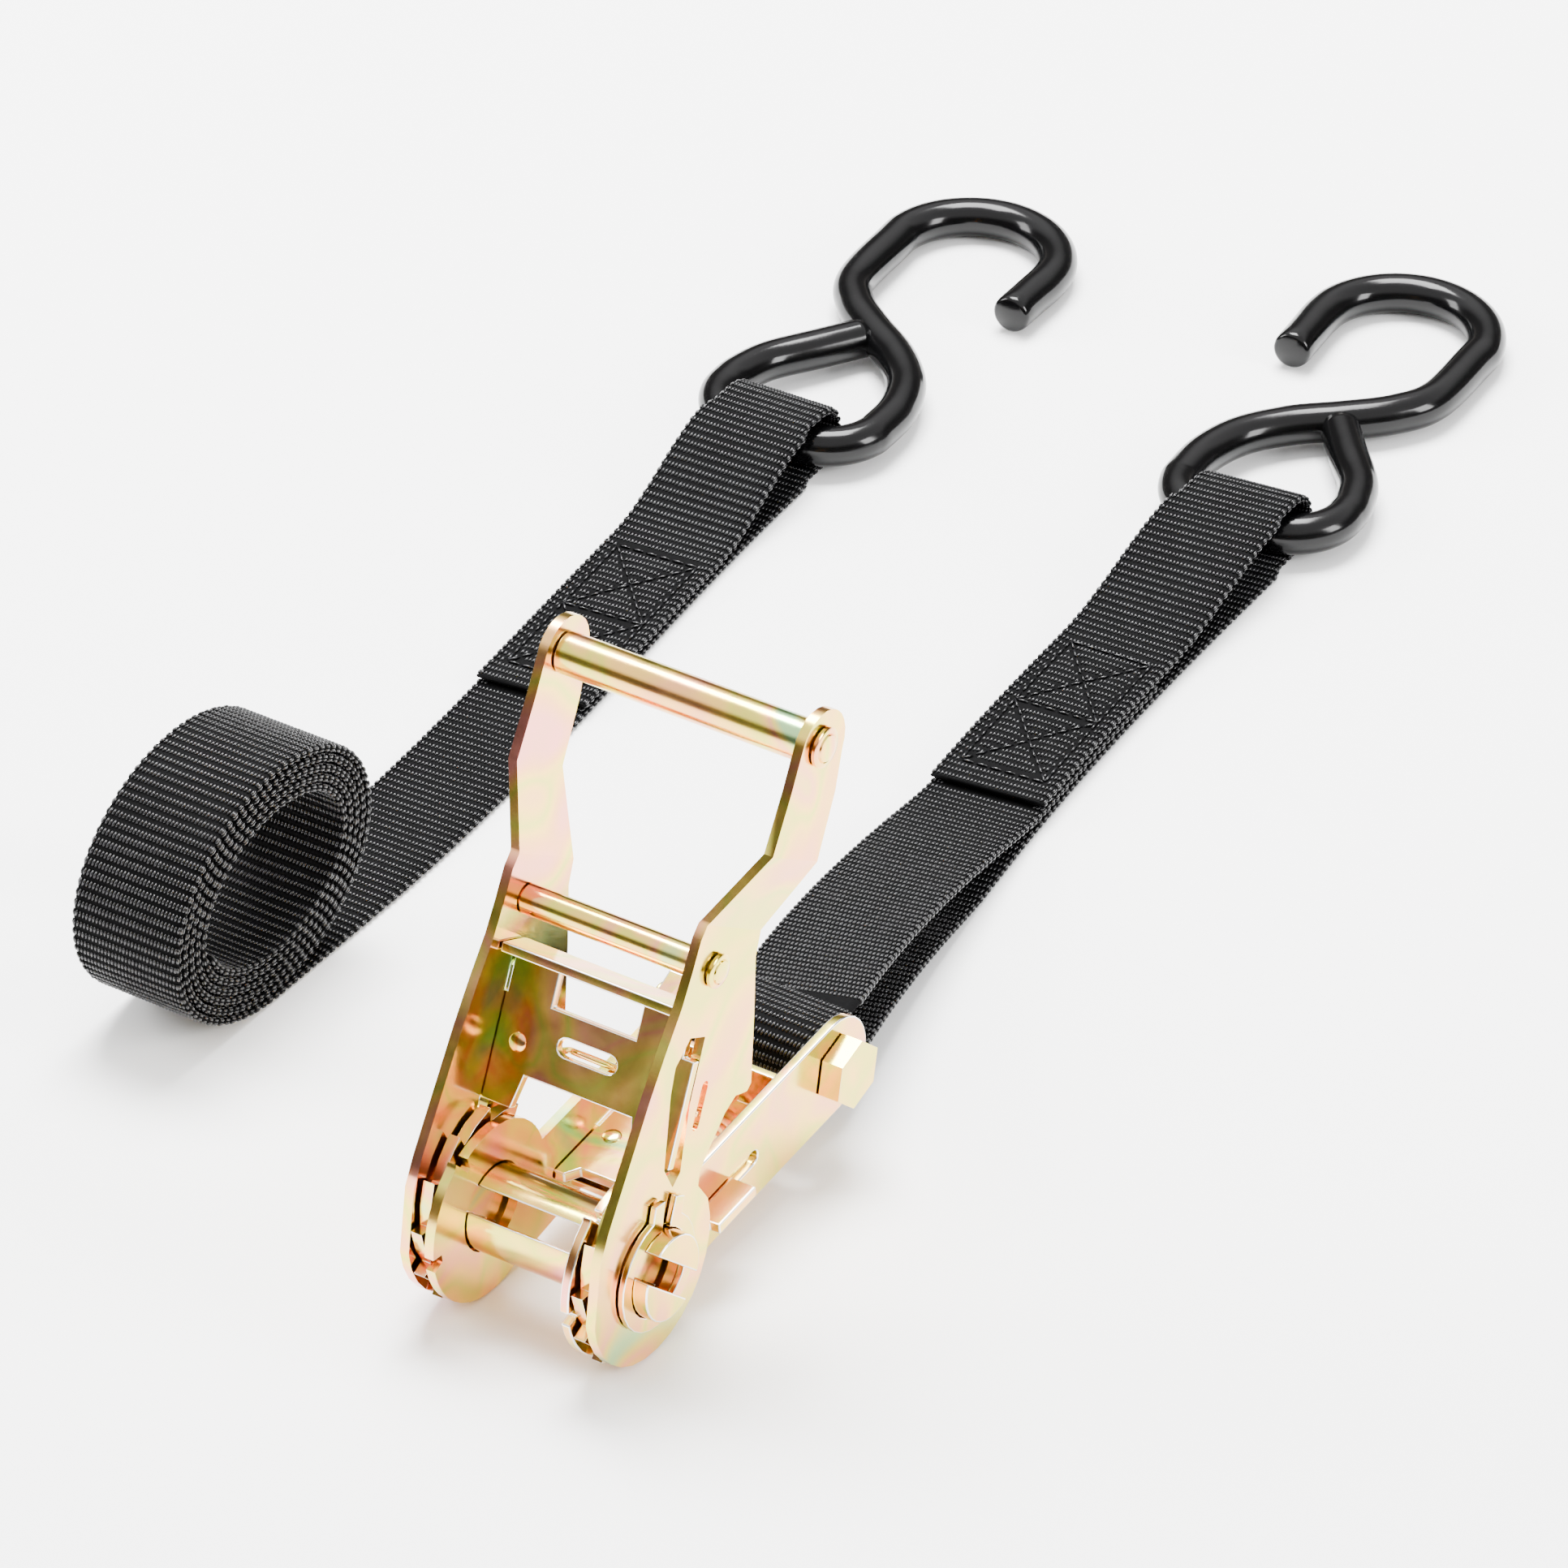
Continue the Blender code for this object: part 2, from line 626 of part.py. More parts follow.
def add_short_strap(webbing):
    turn = Matrix.Rotation(FRAME_TILT, 3, "X")
    bolt = SPINDLE + turn @ Vector((0, *ANCHOR))
    start = Vector((bolt.x, bolt.y, 0))
    end = Vector((SPINDLE.x + SHORT_EYE.x, SPINDLE.y + SHORT_EYE.y, 0))
    profile = short_profile(end.y - start.y, bolt.z)
    dense = subdivide(profile, 9 * MM)
    points, sides = lay_along(dense, start, end, (11 * MM, SHORT_SWING, -0.04), HOOK_YAW[0])
    add_object("short_strap", ribbon(points, sides), webbing)


def roll_profile():
    """Spiral of the rolled part, from the inner free end out to the ground."""
    wide, tall = ROLL_AXES
    start = atan2(tall * cos(ROLL_TILT), wide * sin(ROLL_TILT)) - pi
    points = []
    steps = int(ROLL_TURNS * ROLL_STEPS)
    for i in range(steps, -1, -1):
        turned_by = 2 * pi * i / ROLL_STEPS
        shrink = ROLL_PITCH * i / ROLL_STEPS
        a = start - turned_by
        u, v = (wide - shrink) * cos(a), (tall - shrink) * sin(a)
        along = u * cos(ROLL_TILT) - v * sin(ROLL_TILT)
        up = u * sin(ROLL_TILT) + v * cos(ROLL_TILT)
        points.append((along, up))
    lowest = min(p[1] for p in points)
    return [(a, b - lowest + STRAP_THICK / 2) for a, b in points]


def add_long_strap(webbing):
    start = Vector((SPINDLE.x + ROLL_CENTRE.x, SPINDLE.y + ROLL_CENTRE.y, 0))
    end = Vector((SPINDLE.x + LONG_EYE.x, SPINDLE.y + LONG_EYE.y, 0))
    length = end.y - start.y
    profile = roll_profile()
    lap = length - 44 * MM
    fold = fold_round_eye(length)
    for share in (0.1, 0.25, 0.4, 0.55, 0.7, 0.85):
        profile.append((length * share, layer_height(0)))
    profile += [(length - 12 * MM, layer_height(0))] + fold[::-1]
    profile += slope(fold[0], (lap, layer_height(1)), 6)
    profile += [(lap, layer_height(1)), (length - 104 * MM, layer_height(1))]
    slopes = (ROLL_AXES[0], 0, -tan(HOOK_YAW[1]))
    points, sides = lay_along(profile, start, end, slopes, HOOK_YAW[1])
    add_object("long_strap", ribbon(points, sides), webbing)


def build():
    clear_scene()
    steel = make_material("yellow_zinc", (0.72, 0.60, 0.36), 0.28, 1.0)
    spring_steel = make_material("spring_steel", (0.62, 0.58, 0.50), 0.30, 1.0)
    webbing = make_material("webbing", (0.022, 0.023, 0.026), 0.85, 0.0)
    rubber = make_material("vinyl", (0.012, 0.012, 0.014), 0.32, 0.0)

    frame_axis = add_empty("frame_axis", SPINDLE, FRAME_TILT)
    add_frame_plates(frame_axis, steel)
    add_spring_bracket(frame_axis, steel)
    add_anchor(frame_axis, steel)
    add_frame_pawl(frame_axis, steel)
    add_pawl_spring(frame_axis, spring_steel)

    spindle_axis = add_empty("spindle_axis", SPINDLE, SLOT_ANGLE)
    add_spindle(spindle_axis, steel)
    add_ratchet_wheels(spindle_axis, steel)
    add_retaining_rings(spindle_axis, steel)

    handle_axis = add_empty("handle_axis", SPINDLE, HANDLE_ANGLE)
    add_handle_plates(handle_axis, steel)
    add_handle_pins(handle_axis, steel)
    add_handle_slider(handle_axis, steel)
    add_handle_spring(handle_axis, spring_steel)

    add_short_strap(webbing)
    add_long_strap(webbing)
    add_hook("s_hook_right", SHORT_EYE, HOOK_YAW[0], 1, rubber)
    add_hook("s_hook_left", LONG_EYE, HOOK_YAW[1], -1, rubber)


build()
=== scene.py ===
"""A 25 mm ratchet strap: plated ratchet buckle, short strap, rolled long strap, two S-hooks.

Units are metres in the frame's own axes: the spindle lies along X, the straps run
towards +Y and the ground is at z = 0.
"""

import json
from math import asin, atan2, cos, pi, radians, sin, tan

import bmesh
import bpy
import numpy as np
from mathutils import Matrix, Vector, noise
from mathutils.bvhtree import BVHTree


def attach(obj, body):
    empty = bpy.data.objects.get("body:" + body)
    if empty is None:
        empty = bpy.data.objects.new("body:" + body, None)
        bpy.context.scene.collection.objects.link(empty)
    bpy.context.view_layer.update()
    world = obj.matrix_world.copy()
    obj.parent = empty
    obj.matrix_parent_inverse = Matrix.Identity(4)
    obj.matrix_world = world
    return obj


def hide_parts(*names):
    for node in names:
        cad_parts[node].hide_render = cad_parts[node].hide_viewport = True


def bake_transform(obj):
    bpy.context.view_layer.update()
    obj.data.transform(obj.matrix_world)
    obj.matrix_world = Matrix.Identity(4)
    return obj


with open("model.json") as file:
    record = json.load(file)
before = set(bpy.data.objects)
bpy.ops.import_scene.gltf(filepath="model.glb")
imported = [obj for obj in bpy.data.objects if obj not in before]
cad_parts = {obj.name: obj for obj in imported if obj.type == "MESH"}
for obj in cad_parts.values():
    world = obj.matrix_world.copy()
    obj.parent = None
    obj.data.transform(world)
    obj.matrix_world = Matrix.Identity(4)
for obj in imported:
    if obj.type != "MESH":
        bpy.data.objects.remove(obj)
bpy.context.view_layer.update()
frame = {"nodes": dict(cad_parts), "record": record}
joints = {joint["name"]: joint for joint in frame["record"]["behaviour"]["joints"]}
MM = 0.001

# ---- camera, floor and studio light ----
# A long lens looks down on the strap from its front right. The floor is plain and pale,
# and one large soft light hangs overhead with a weaker one on each side.

spindle = Vector(joints["handle_hinge"]["pos_m"])
camera_data = bpy.data.cameras.new("camera")
camera_data.sensor_width = 36
camera_data.lens = 245.96
camera = bpy.data.objects.new("camera", camera_data)
camera.location = spindle + Vector((0.92076, -1.31522, 1.19634))
looking = Vector((-0.4555, 0.6890, -0.5637))
camera.rotation_euler = looking.to_track_quat("-Z", "Y").to_euler()
bpy.context.scene.collection.objects.link(camera)
bpy.context.scene.camera = camera

floor_shape = bmesh.new()
bmesh.ops.create_grid(floor_shape, x_segments=1, y_segments=1, size=4)
bmesh.ops.translate(floor_shape, verts=floor_shape.verts, vec=(0, 0, -0.2 * MM))
floor_mesh = bpy.data.meshes.new("floor")
floor_shape.to_mesh(floor_mesh)
floor_shape.free()
floor = bpy.data.objects.new("floor", floor_mesh)
bpy.context.scene.collection.objects.link(floor)
floor_paint = bpy.data.materials.new("floor_paint")
floor_paint.use_nodes = True
floor_shader = floor_paint.node_tree.nodes["Principled BSDF"]
floor_shader.inputs["Base Color"].default_value = (0.97, 0.97, 0.97, 1)
floor_shader.inputs["Roughness"].default_value = 0.9
floor_shader.inputs["Specular IOR Level"].default_value = 0.1
floor_mesh.materials.append(floor_paint)


def add_light(name, place, aim, size, power):
    data = bpy.data.lights.new(name, "AREA")
    data.shape = "RECTANGLE"
    data.size, data.size_y = size
    data.energy = power
    light = bpy.data.objects.new(name, data)
    light.location = place
    light.rotation_euler = (Vector(aim) - Vector(place)).to_track_quat("-Z", "Y").to_euler()
    bpy.context.scene.collection.objects.link(light)


add_light("overhead", (-0.4, 0.5, 1.7), (0, 0, 0), (1.1, 0.9), 170)
add_light("left_side", (-1.5, -0.6, 0.8), (0, 0, 0), (0.6, 0.9), 36)
add_light("right_side", (1.5, 0.3, 0.7), (0, 0, 0.03), (0.5, 0.7), 36)

world = bpy.data.worlds.new("studio")
bpy.context.scene.world = world
world.use_nodes = True
tree = world.node_tree
background = tree.nodes["Background"]
direction = tree.nodes.new("ShaderNodeTexCoord")
split = tree.nodes.new("ShaderNodeSeparateXYZ")
tree.links.new(direction.outputs["Generated"], split.inputs[0])
room = tree.nodes.new("ShaderNodeValToRGB")
room.color_ramp.elements[0].position = 0.0
room.color_ramp.elements[0].color = (0.26, 0.24, 0.22, 1)
room.color_ramp.elements[1].position = 0.62
room.color_ramp.elements[1].color = (1.0, 1.0, 1.0, 1)
low_wall = room.color_ramp.elements.new(0.14)
low_wall.color = (0.08, 0.075, 0.07, 1)
high_wall = room.color_ramp.elements.new(0.40)
high_wall.color = (0.08, 0.075, 0.07, 1)
tree.links.new(split.outputs["Z"], room.inputs["Fac"])
rays = tree.nodes.new("ShaderNodeLightPath")
seen = tree.nodes.new("ShaderNodeMix")
seen.data_type = "RGBA"
seen.inputs["B"].default_value = (1.0, 1.0, 1.0, 1)
tree.links.new(rays.outputs["Is Camera Ray"], seen.inputs["Factor"])
tree.links.new(room.outputs["Color"], seen.inputs["A"])
tree.links.new(seen.outputs["Result"], background.inputs["Color"])
background.inputs["Strength"].default_value = 2.0

# ---- side plates of the frame ----
# Two stamped 2 mm steel plates, yellow zinc plated. The stamping rounds their edges, and a
# near-white painted highlight lies on the rounded edges. They stay on the frame's body.


def group_socket(group, name, kind, way, value=None):
    socket = group.interface.new_socket(name, in_out=way, socket_type="NodeSocket" + kind)
    if value is not None:
        socket.default_value = value
    return socket


def colour_stops(node, stops):
    """Set a colour ramp from (position, colour) pairs."""
    ramp = node.color_ramp
    while len(ramp.elements) > 1:
        ramp.elements.remove(ramp.elements[0])
    ramp.elements[0].position = stops[0][0]
    ramp.elements[0].color = (*stops[0][1], 1)
    for position, colour in stops[1:]:
        ramp.elements.new(position).color = (*colour, 1)


def mix_colours(tree, factor, one, two, blend="MIX"):
    node = tree.nodes.new("ShaderNodeMix")
    node.data_type = "RGBA"
    node.blend_type = blend
    for socket, value in (("Factor", factor), ("A", one), ("B", two)):
        if isinstance(value, bpy.types.NodeSocket):
            tree.links.new(value, node.inputs[socket])
        else:
            node.inputs[socket].default_value = value
    return node.outputs["Result"]


def noise_node(tree, place, scale, detail=3.0, roughness=0.5, distortion=0.0):
    node = tree.nodes.new("ShaderNodeTexNoise")
    node.inputs["Scale"].default_value = scale
    node.inputs["Detail"].default_value = detail
    node.inputs["Roughness"].default_value = roughness
    node.inputs["Distortion"].default_value = distortion
    tree.links.new(place, node.inputs["Vector"])
    return node.outputs["Fac"]


def scaled(tree, value, low, high):
    """A 0 to 1 value, spread over a new range."""
    node = tree.nodes.new("ShaderNodeMapRange")
    node.inputs["From Min"].default_value = 0.3
    node.inputs["From Max"].default_value = 0.7
    node.inputs["To Min"].default_value = low
    node.inputs["To Max"].default_value = high
    tree.links.new(value, node.inputs["Value"])
    return node.outputs["Result"]


def make_plating_group():
    """Chromate film on zinc: drifting gold, peach, pink and green, with faint handling marks, and
    a near-white painted highlight on the marked edges.
    """
    group = bpy.data.node_groups.new("chromate_film", "ShaderNodeTree")
    group_socket(group, "Place", "Vector", "INPUT")
    group_socket(group, "Patches per metre", "Float", "INPUT", 24.0)
    group_socket(group, "Painted edge highlight", "Float", "INPUT", 0.0)
    for name, kind in (("Colour", "Color"), ("Roughness", "Float"), ("Height", "Float")):
        group_socket(group, name, kind, "OUTPUT")
    start = group.nodes.new("NodeGroupInput")
    end = group.nodes.new("NodeGroupOutput")
    drift = noise_node(group, start.outputs["Place"], 24.0, 1.5, 0.45, 0.9)
    group.links.new(start.outputs["Patches per metre"], drift.node.inputs["Scale"])
    film = group.nodes.new("ShaderNodeValToRGB")
    colour_stops(film, [
        (0.30, (0.95, 0.34, 0.30)),
        (0.38, (0.97, 0.44, 0.18)),
        (0.44, (0.98, 0.62, 0.12)),
        (0.49, (0.72, 0.66, 0.09)),
        (0.54, (0.98, 0.60, 0.13)),
        (0.60, (0.97, 0.42, 0.22)),
        (0.66, (0.85, 0.66, 0.12)),
        (0.73, (0.36, 0.66, 0.30)),
    ])
    group.links.new(drift, film.inputs["Fac"])
    mottle = noise_node(group, start.outputs["Place"], 160.0, 4.0, 0.6)
    cloud = scaled(group, mottle, 0.0, 0.22)
    mixed = mix_colours(group, cloud, film.outputs["Color"], (0.66, 0.44, 0.18, 1))
    # Painted highlight: the marked rounded edge faces turn near-white in the colour.
    painted_edge_highlight = mix_colours(group, start.outputs["Painted edge highlight"], mixed, (0.99, 0.95, 0.90, 1))
    group.links.new(painted_edge_highlight, end.inputs["Colour"])
    smear = noise_node(group, start.outputs["Place"], 60.0, 5.0, 0.65, 0.6)
    group.links.new(scaled(group, smear, 0.10, 0.22), end.inputs["Roughness"])
    peel = noise_node(group, start.outputs["Place"], 900.0, 3.0, 0.55)
    group.links.new(peel, end.inputs["Height"])
    return group


plating_group = make_plating_group()


def plated(name, shift=(0, 0, 0), patches=24.0, bump=0.05, turn=(0, 0, 0)):
    """A zinc plated steel finish; shift moves its colour patches to another place."""
    material = bpy.data.materials.new(name)
    material.use_nodes = True
    tree = material.node_tree
    shader = tree.nodes["Principled BSDF"]
    shader.inputs["Metallic"].default_value = 1.0
    place = tree.nodes.new("ShaderNodeTexCoord")
    mapping = tree.nodes.new("ShaderNodeMapping")
    mapping.inputs["Location"].default_value = shift
    mapping.inputs["Rotation"].default_value = turn
    tree.links.new(place.outputs["Object"], mapping.inputs["Vector"])
    film = tree.nodes.new("ShaderNodeGroup")
    film.node_tree = plating_group
    film.inputs["Patches per metre"].default_value = patches
    # Reads the face mark that carries the painted edge highlight.
    painted_edge_highlight = tree.nodes.new("ShaderNodeAttribute")
    painted_edge_highlight.attribute_name = "painted_edge_highlight"
    tree.links.new(mapping.outputs["Vector"], film.inputs["Place"])
    tree.links.new(painted_edge_highlight.outputs["Fac"], film.inputs["Painted edge highlight"])
    tree.links.new(film.outputs["Colour"], shader.inputs["Base Color"])
    tree.links.new(film.outputs["Roughness"], shader.inputs["Roughness"])
    relief = tree.nodes.new("ShaderNodeBump")
    relief.inputs["Strength"].default_value = bump
    relief.inputs["Distance"].default_value = 0.1 * MM
    tree.links.new(film.outputs["Height"], relief.inputs["Height"])
    tree.links.new(relief.outputs["Normal"], shader.inputs["Normal"])
    return material


def plain_mesh(thing):
    """Apply an object's modifiers and leave a plain mesh."""
    bpy.context.view_layer.update()
    graph = bpy.context.evaluated_depsgraph_get()
    made = bpy.data.meshes.new_from_object(thing.evaluated_get(graph))
    thing.modifiers.clear()
    thing.data = made
    return thing


def add_piece(name, shape, material, body, replaced=(), smooth=True):
    """Turn a bmesh into a finished piece that rides on a body."""
    mesh = bpy.data.meshes.new(name)
    shape.to_mesh(mesh)
    shape.free()
    mesh.materials.append(material)
    if smooth:
        mesh.shade_smooth()
    piece = bpy.data.objects.new(name, mesh)
    bpy.context.scene.collection.objects.link(piece)
    if body:
        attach(piece, body)
    if replaced:
        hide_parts(*replaced)
    return piece


def pressed_copy(node, body, material, edge, bend=0.0):
    """The CAD piece with its sharp edges rounded, as stamping and plating leave them; the rounded
    faces are marked for a painted highlight.
    """
    shape = bmesh.new()
    shape.from_mesh(frame["nodes"][node].data)
    bmesh.ops.remove_doubles(shape, verts=shape.verts, dist=0.002 * MM)
    bmesh.ops.dissolve_limit(
        shape, angle_limit=radians(0.6), verts=shape.verts, edges=shape.edges
    )
    # Marks the rounded edge faces, where the plating colour turns near-white as a painted
    # highlight.
    painted_edge_highlight = shape.faces.layers.float.new("painted_edge_highlight")
    if bend:
        folds = [
            e for e in shape.edges
            if e.is_manifold and radians(15) < e.calc_face_angle() < radians(40)
            and e.calc_length() > 12 * MM
        ]
        bmesh.ops.bevel(
            shape, geom=folds, offset=bend, segments=4, profile=0.5, affect="EDGES",
            clamp_overlap=True,
        )
    sharp = [e for e in shape.edges if e.is_manifold and e.calc_face_angle() > radians(41)]
    made = bmesh.ops.bevel(
        shape, geom=sharp, offset=edge, segments=2, profile=0.5, affect="EDGES",
        clamp_overlap=True,
    )
    for face in made["faces"]:
        face[painted_edge_highlight] = 1.0
    piece = add_piece(node + "_finished", shape, material, None, (node,))
    weighted = piece.modifiers.new("weighted", "WEIGHTED_NORMAL")
    weighted.weight = 80
    plain_mesh(piece)
    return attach(piece, body)


frame_zinc = plated("frame_zinc", (0.013, 0.004, 0.02), 34.0)
for side in ("left", "right"):
    pressed_copy("frame_plate_" + side, "frame", frame_zinc, 0.35 * MM)

# ---- spring bracket, anchor bolt, nut and spacer ----
# The bracket is bent from the same sheet. A hex bolt and nut clamp the spacer tube that
# the short strap is looped round.

inner_zinc = plated("inner_zinc", (0.05, 0.02, 0.01), 48.0)
bolt_zinc = plated("bolt_zinc", (0.02, 0.06, 0.03), 45.0)
pressed_copy("spring_bracket", "frame", inner_zinc, 0.25 * MM)
pressed_copy("anchor_bolt", "frame", bolt_zinc, 0.45 * MM)
pressed_copy("anchor_nut", "frame", bolt_zinc, 0.4 * MM)
pressed_copy("anchor_spacer", "frame", inner_zinc, 0.15 * MM)

# ---- sliding pawl and its coil spring ----
# A stamped pawl slides in slots in both side plates. A wire spring pushes its tips into
# the ratchet wheels.

FRAME_TILT = radians(6.5)
frame_turn = Matrix.Rotation(FRAME_TILT, 3, "X")


def frame_point(x, y, z):
    """A place in the frame's own axes, in millimetres from the spindle."""
    return spindle + frame_turn @ (Vector((x, y, z)) * MM)


pressed_copy("frame_pawl", "frame_pawl", inner_zinc, 0.3 * MM)


def add_dimple(name, centre, up, radius, height, body, material):
    """A small pressed dome on a plate."""
    shape = bmesh.new()
    bmesh.ops.create_uvsphere(shape, u_segments=24, v_segments=14, radius=1.0)
    turn = up.to_track_quat("Z", "Y").to_matrix().to_4x4()
    size = Matrix.Diagonal((radius, radius, height, 1))
    bmesh.ops.transform(shape, verts=shape.verts, matrix=Matrix.Translation(centre) @ turn @ size)
    return add_piece(name, shape, material, body)


add_dimple(
    "pawl_dimple", frame_point(-10, 33, -6.35), frame_turn @ Vector((0, 0, 1)),
    2.0 * MM, 0.6 * MM, "frame_pawl", inner_zinc,
)


def new_tree(name, inputs):
    """A geometry tree with named inputs and one geometry output."""
    tree = bpy.data.node_groups.new(name, "GeometryNodeTree")
    for label, kind, value in inputs:
        group_socket(tree, label, kind, "INPUT", value)
    group_socket(tree, "Geometry", "Geometry", "OUTPUT")
    return tree, tree.nodes.new("NodeGroupInput"), tree.nodes.new("NodeGroupOutput")


def run_tree(name, tree, mesh, values):
    """Run a geometry tree on a mesh and return the object with the plain result."""
    thing = bpy.data.objects.new(name, mesh)
    bpy.context.scene.collection.objects.link(thing)
    modifier = thing.modifiers.new("made", "NODES")
    modifier.node_group = tree
    for item in tree.interface.items_tree:
        if item.in_out == "INPUT" and item.name in values:
            modifier[item.identifier] = values[item.name]
    plain_mesh(thing)
    return thing


def make_coil_tree():
    tree, start, end = new_tree("coil_spring", [
        ("Geometry", "Geometry", None), ("Turns", "Float", 6.0), ("Coil radius", "Float", 0.003),
        ("Length", "Float", 0.013), ("Wire radius", "Float", 0.0005),
        ("Material", "Material", None),
    ])
    spiral = tree.nodes.new("GeometryNodeCurveSpiral")
    spiral.inputs["Resolution"].default_value = 28
    ring = tree.nodes.new("GeometryNodeCurvePrimitiveCircle")
    ring.inputs["Resolution"].default_value = 10
    sweep = tree.nodes.new("GeometryNodeCurveToMesh")
    sweep.inputs["Fill Caps"].default_value = True
    smooth = tree.nodes.new("GeometryNodeSetShadeSmooth")
    realize = tree.nodes.new("GeometryNodeRealizeInstances")
    paint = tree.nodes.new("GeometryNodeSetMaterial")
    link = tree.links.new
    link(start.outputs["Turns"], spiral.inputs["Rotations"])
    link(start.outputs["Coil radius"], spiral.inputs["Start Radius"])
    link(start.outputs["Coil radius"], spiral.inputs["End Radius"])
    link(start.outputs["Length"], spiral.inputs["Height"])
    link(start.outputs["Wire radius"], ring.inputs["Radius"])
    link(spiral.outputs["Curve"], sweep.inputs["Curve"])
    link(ring.outputs["Curve"], sweep.inputs["Profile Curve"])
    link(sweep.outputs["Mesh"], smooth.inputs["Geometry"])
    link(smooth.outputs["Geometry"], realize.inputs["Geometry"])
    link(realize.outputs["Geometry"], paint.inputs["Geometry"])
    link(start.outputs["Material"], paint.inputs["Material"])
    link(paint.outputs["Geometry"], end.inputs["Geometry"])
    return tree


spring_wire = plated("spring_wire", (0.3, 0.1, 0.2), 60.0)
COIL = {"Turns": 6.5, "Coil radius": 3.2 * MM, "Length": 13.0 * MM, "Wire radius": 0.45 * MM}
COIL_START, COIL_FIXED_END, COIL_HEIGHT = 44.2, 57.3, -7.5  # along and above the frame, mm
coil = run_tree(
    "pawl_coil", make_coil_tree(), bpy.data.meshes.new("coil"), {**COIL, "Material": spring_wire}
)
coil_way = Matrix.Rotation(FRAME_TILT, 4, "X") @ Matrix.Rotation(radians(-90), 4, "X")
coil.data.transform(Matrix.Translation(frame_point(0, COIL_START, COIL_HEIGHT)) @ coil_way)
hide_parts("pawl_spring")
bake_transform(coil)

# ---- spindle, ratchet wheels and retaining rings ----
# Two half-round bars carry a saw-toothed wheel at each end and leave a slot for the
# webbing. An open spring ring outside each handle plate holds the stack together.

bar_zinc = plated("bar_zinc", (0.0, 0.07, 0.02), 46.0, 0.08)
wheel_zinc = plated("wheel_zinc", (0.09, 0.01, 0.05), 50.0)
for node in ("spindle_bar_upper", "spindle_bar_lower"):
    pressed_copy(node, "spindle", bar_zinc, 0.3 * MM)
for side in ("left", "right"):
    pressed_copy("ratchet_wheel_" + side, "spindle", wheel_zinc, 0.2 * MM)
    pressed_copy("retaining_ring_" + side, "spindle", bolt_zinc, 0.2 * MM)

# ---- handle plates, grip, cross pin ----
# Two more stamped plates step out to a wider grip. The grip is a rolled tube on a riveted
# pin, and a second pin ties the plates together.

HANDLE_ANGLE = radians(65.8)
handle_turn = Matrix.Rotation(HANDLE_ANGLE, 3, "X")


def handle_point(x, y, z):
    """A place in the handle's own axes, in millimetres from the spindle."""
    return spindle + handle_turn @ (Vector((x, y, z)) * MM)


handle_zinc = plated("handle_zinc", (0.004, 0.0, 0.0), 32.0)
for side in ("left", "right"):
    pressed_copy("handle_plate_" + side, "handle", handle_zinc, 0.35 * MM, 1.6 * MM)
pressed_copy("grip_sleeve", "grip_sleeve", bar_zinc, 0.2 * MM)


def turned_pin(name, profile, centre, material, steps=32):
    """A solid turned about X from an (x, radius) profile in millimetres."""
    shape = bmesh.new()
    rows = []
    for x, radius in profile:
        row = []
        for i in range(steps):
            a = 2 * pi * i / steps
            place = Vector((x, radius * cos(a), radius * sin(a))) * MM
            row.append(shape.verts.new(centre + place))
        rows.append(row)
    for row, after in zip(rows, rows[1:]):
        for i in range(steps):
            j = (i + 1) % steps
            shape.faces.new((row[i], row[j], after[j], after[i]))
    shape.faces.new(rows[0])
    shape.faces.new(rows[-1][::-1])
    bmesh.ops.recalc_face_normals(shape, faces=shape.faces)
    piece = add_piece(name + "_finished", shape, material, None, (name,))
    piece.data.set_sharp_from_angle(angle=radians(38))
    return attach(piece, "handle")


def headed_pin(body, neck_at, neck, head_at, head, end):
    """Half profile of a pin whose riveted head is a collar round a smaller spun disc."""
    right = [(neck_at, body), (neck_at, neck)] if neck < body else []
    right += [
        (head_at, neck),
        (head_at, head - 0.15),
        (head_at + 0.15, head),
        (end - 0.75, head),
        (end - 0.5, head - 0.3),
        (end - 0.45, head * 0.74),
        (end - 0.6, head * 0.69),
        (end - 0.2, head * 0.64),
        (end - 0.03, head * 0.52),
        (end, head * 0.3),
    ]
    return [(-x, r) for x, r in right[::-1]] + right


GRIP_AT = (1.15, 105.5, -0.4)
CROSS_PIN_AT = (0, 59.6, 3.6)
grip_profile = headed_pin(2.6, 0, 2.6, 29.75, 4.0, 31.25)
cross_profile = headed_pin(3.0, 19.7, 2.2, 22.3, 3.4, 23.8)
turned_pin("grip_pin", grip_profile, handle_point(*GRIP_AT), bolt_zinc)
turned_pin("cross_pin", cross_profile, handle_point(*CROSS_PIN_AT), bolt_zinc)

# ---- slider and its bow spring ----
# The slider is pulled by its bent-up flange. A bow of spring wire hooks through its slot
# and pushes it back down on the wheels.

slider_zinc = plated("slider_zinc", (0.03, 0.03, 0.0), 40.0)
pressed_copy("handle_slider", "handle_slider", slider_zinc, 0.3 * MM)
add_dimple(
    "slider_dimple", handle_point(-15, 32.8, 3.5), handle_turn @ Vector((0, 0, 1)),
    1.9 * MM, 0.6 * MM, "handle_slider", slider_zinc,
)


def smooth_curve(points, steps):
    """A smooth curve through given points."""
    path = [Vector(p) for p in points]
    path = [2 * path[0] - path[1], *path, 2 * path[-1] - path[-2]]
    curve = []
    for a, b, c, d in zip(path, path[1:], path[2:], path[3:]):
        for k in range(steps):
            t = k / steps
            curve.append(
                0.5 * (2 * b + (c - a) * t + (2 * a - 5 * b + 4 * c - d) * t**2
                       + (3 * b - a - 3 * c + d) * t**3)
            )
    curve.append(path[-2])
    return curve


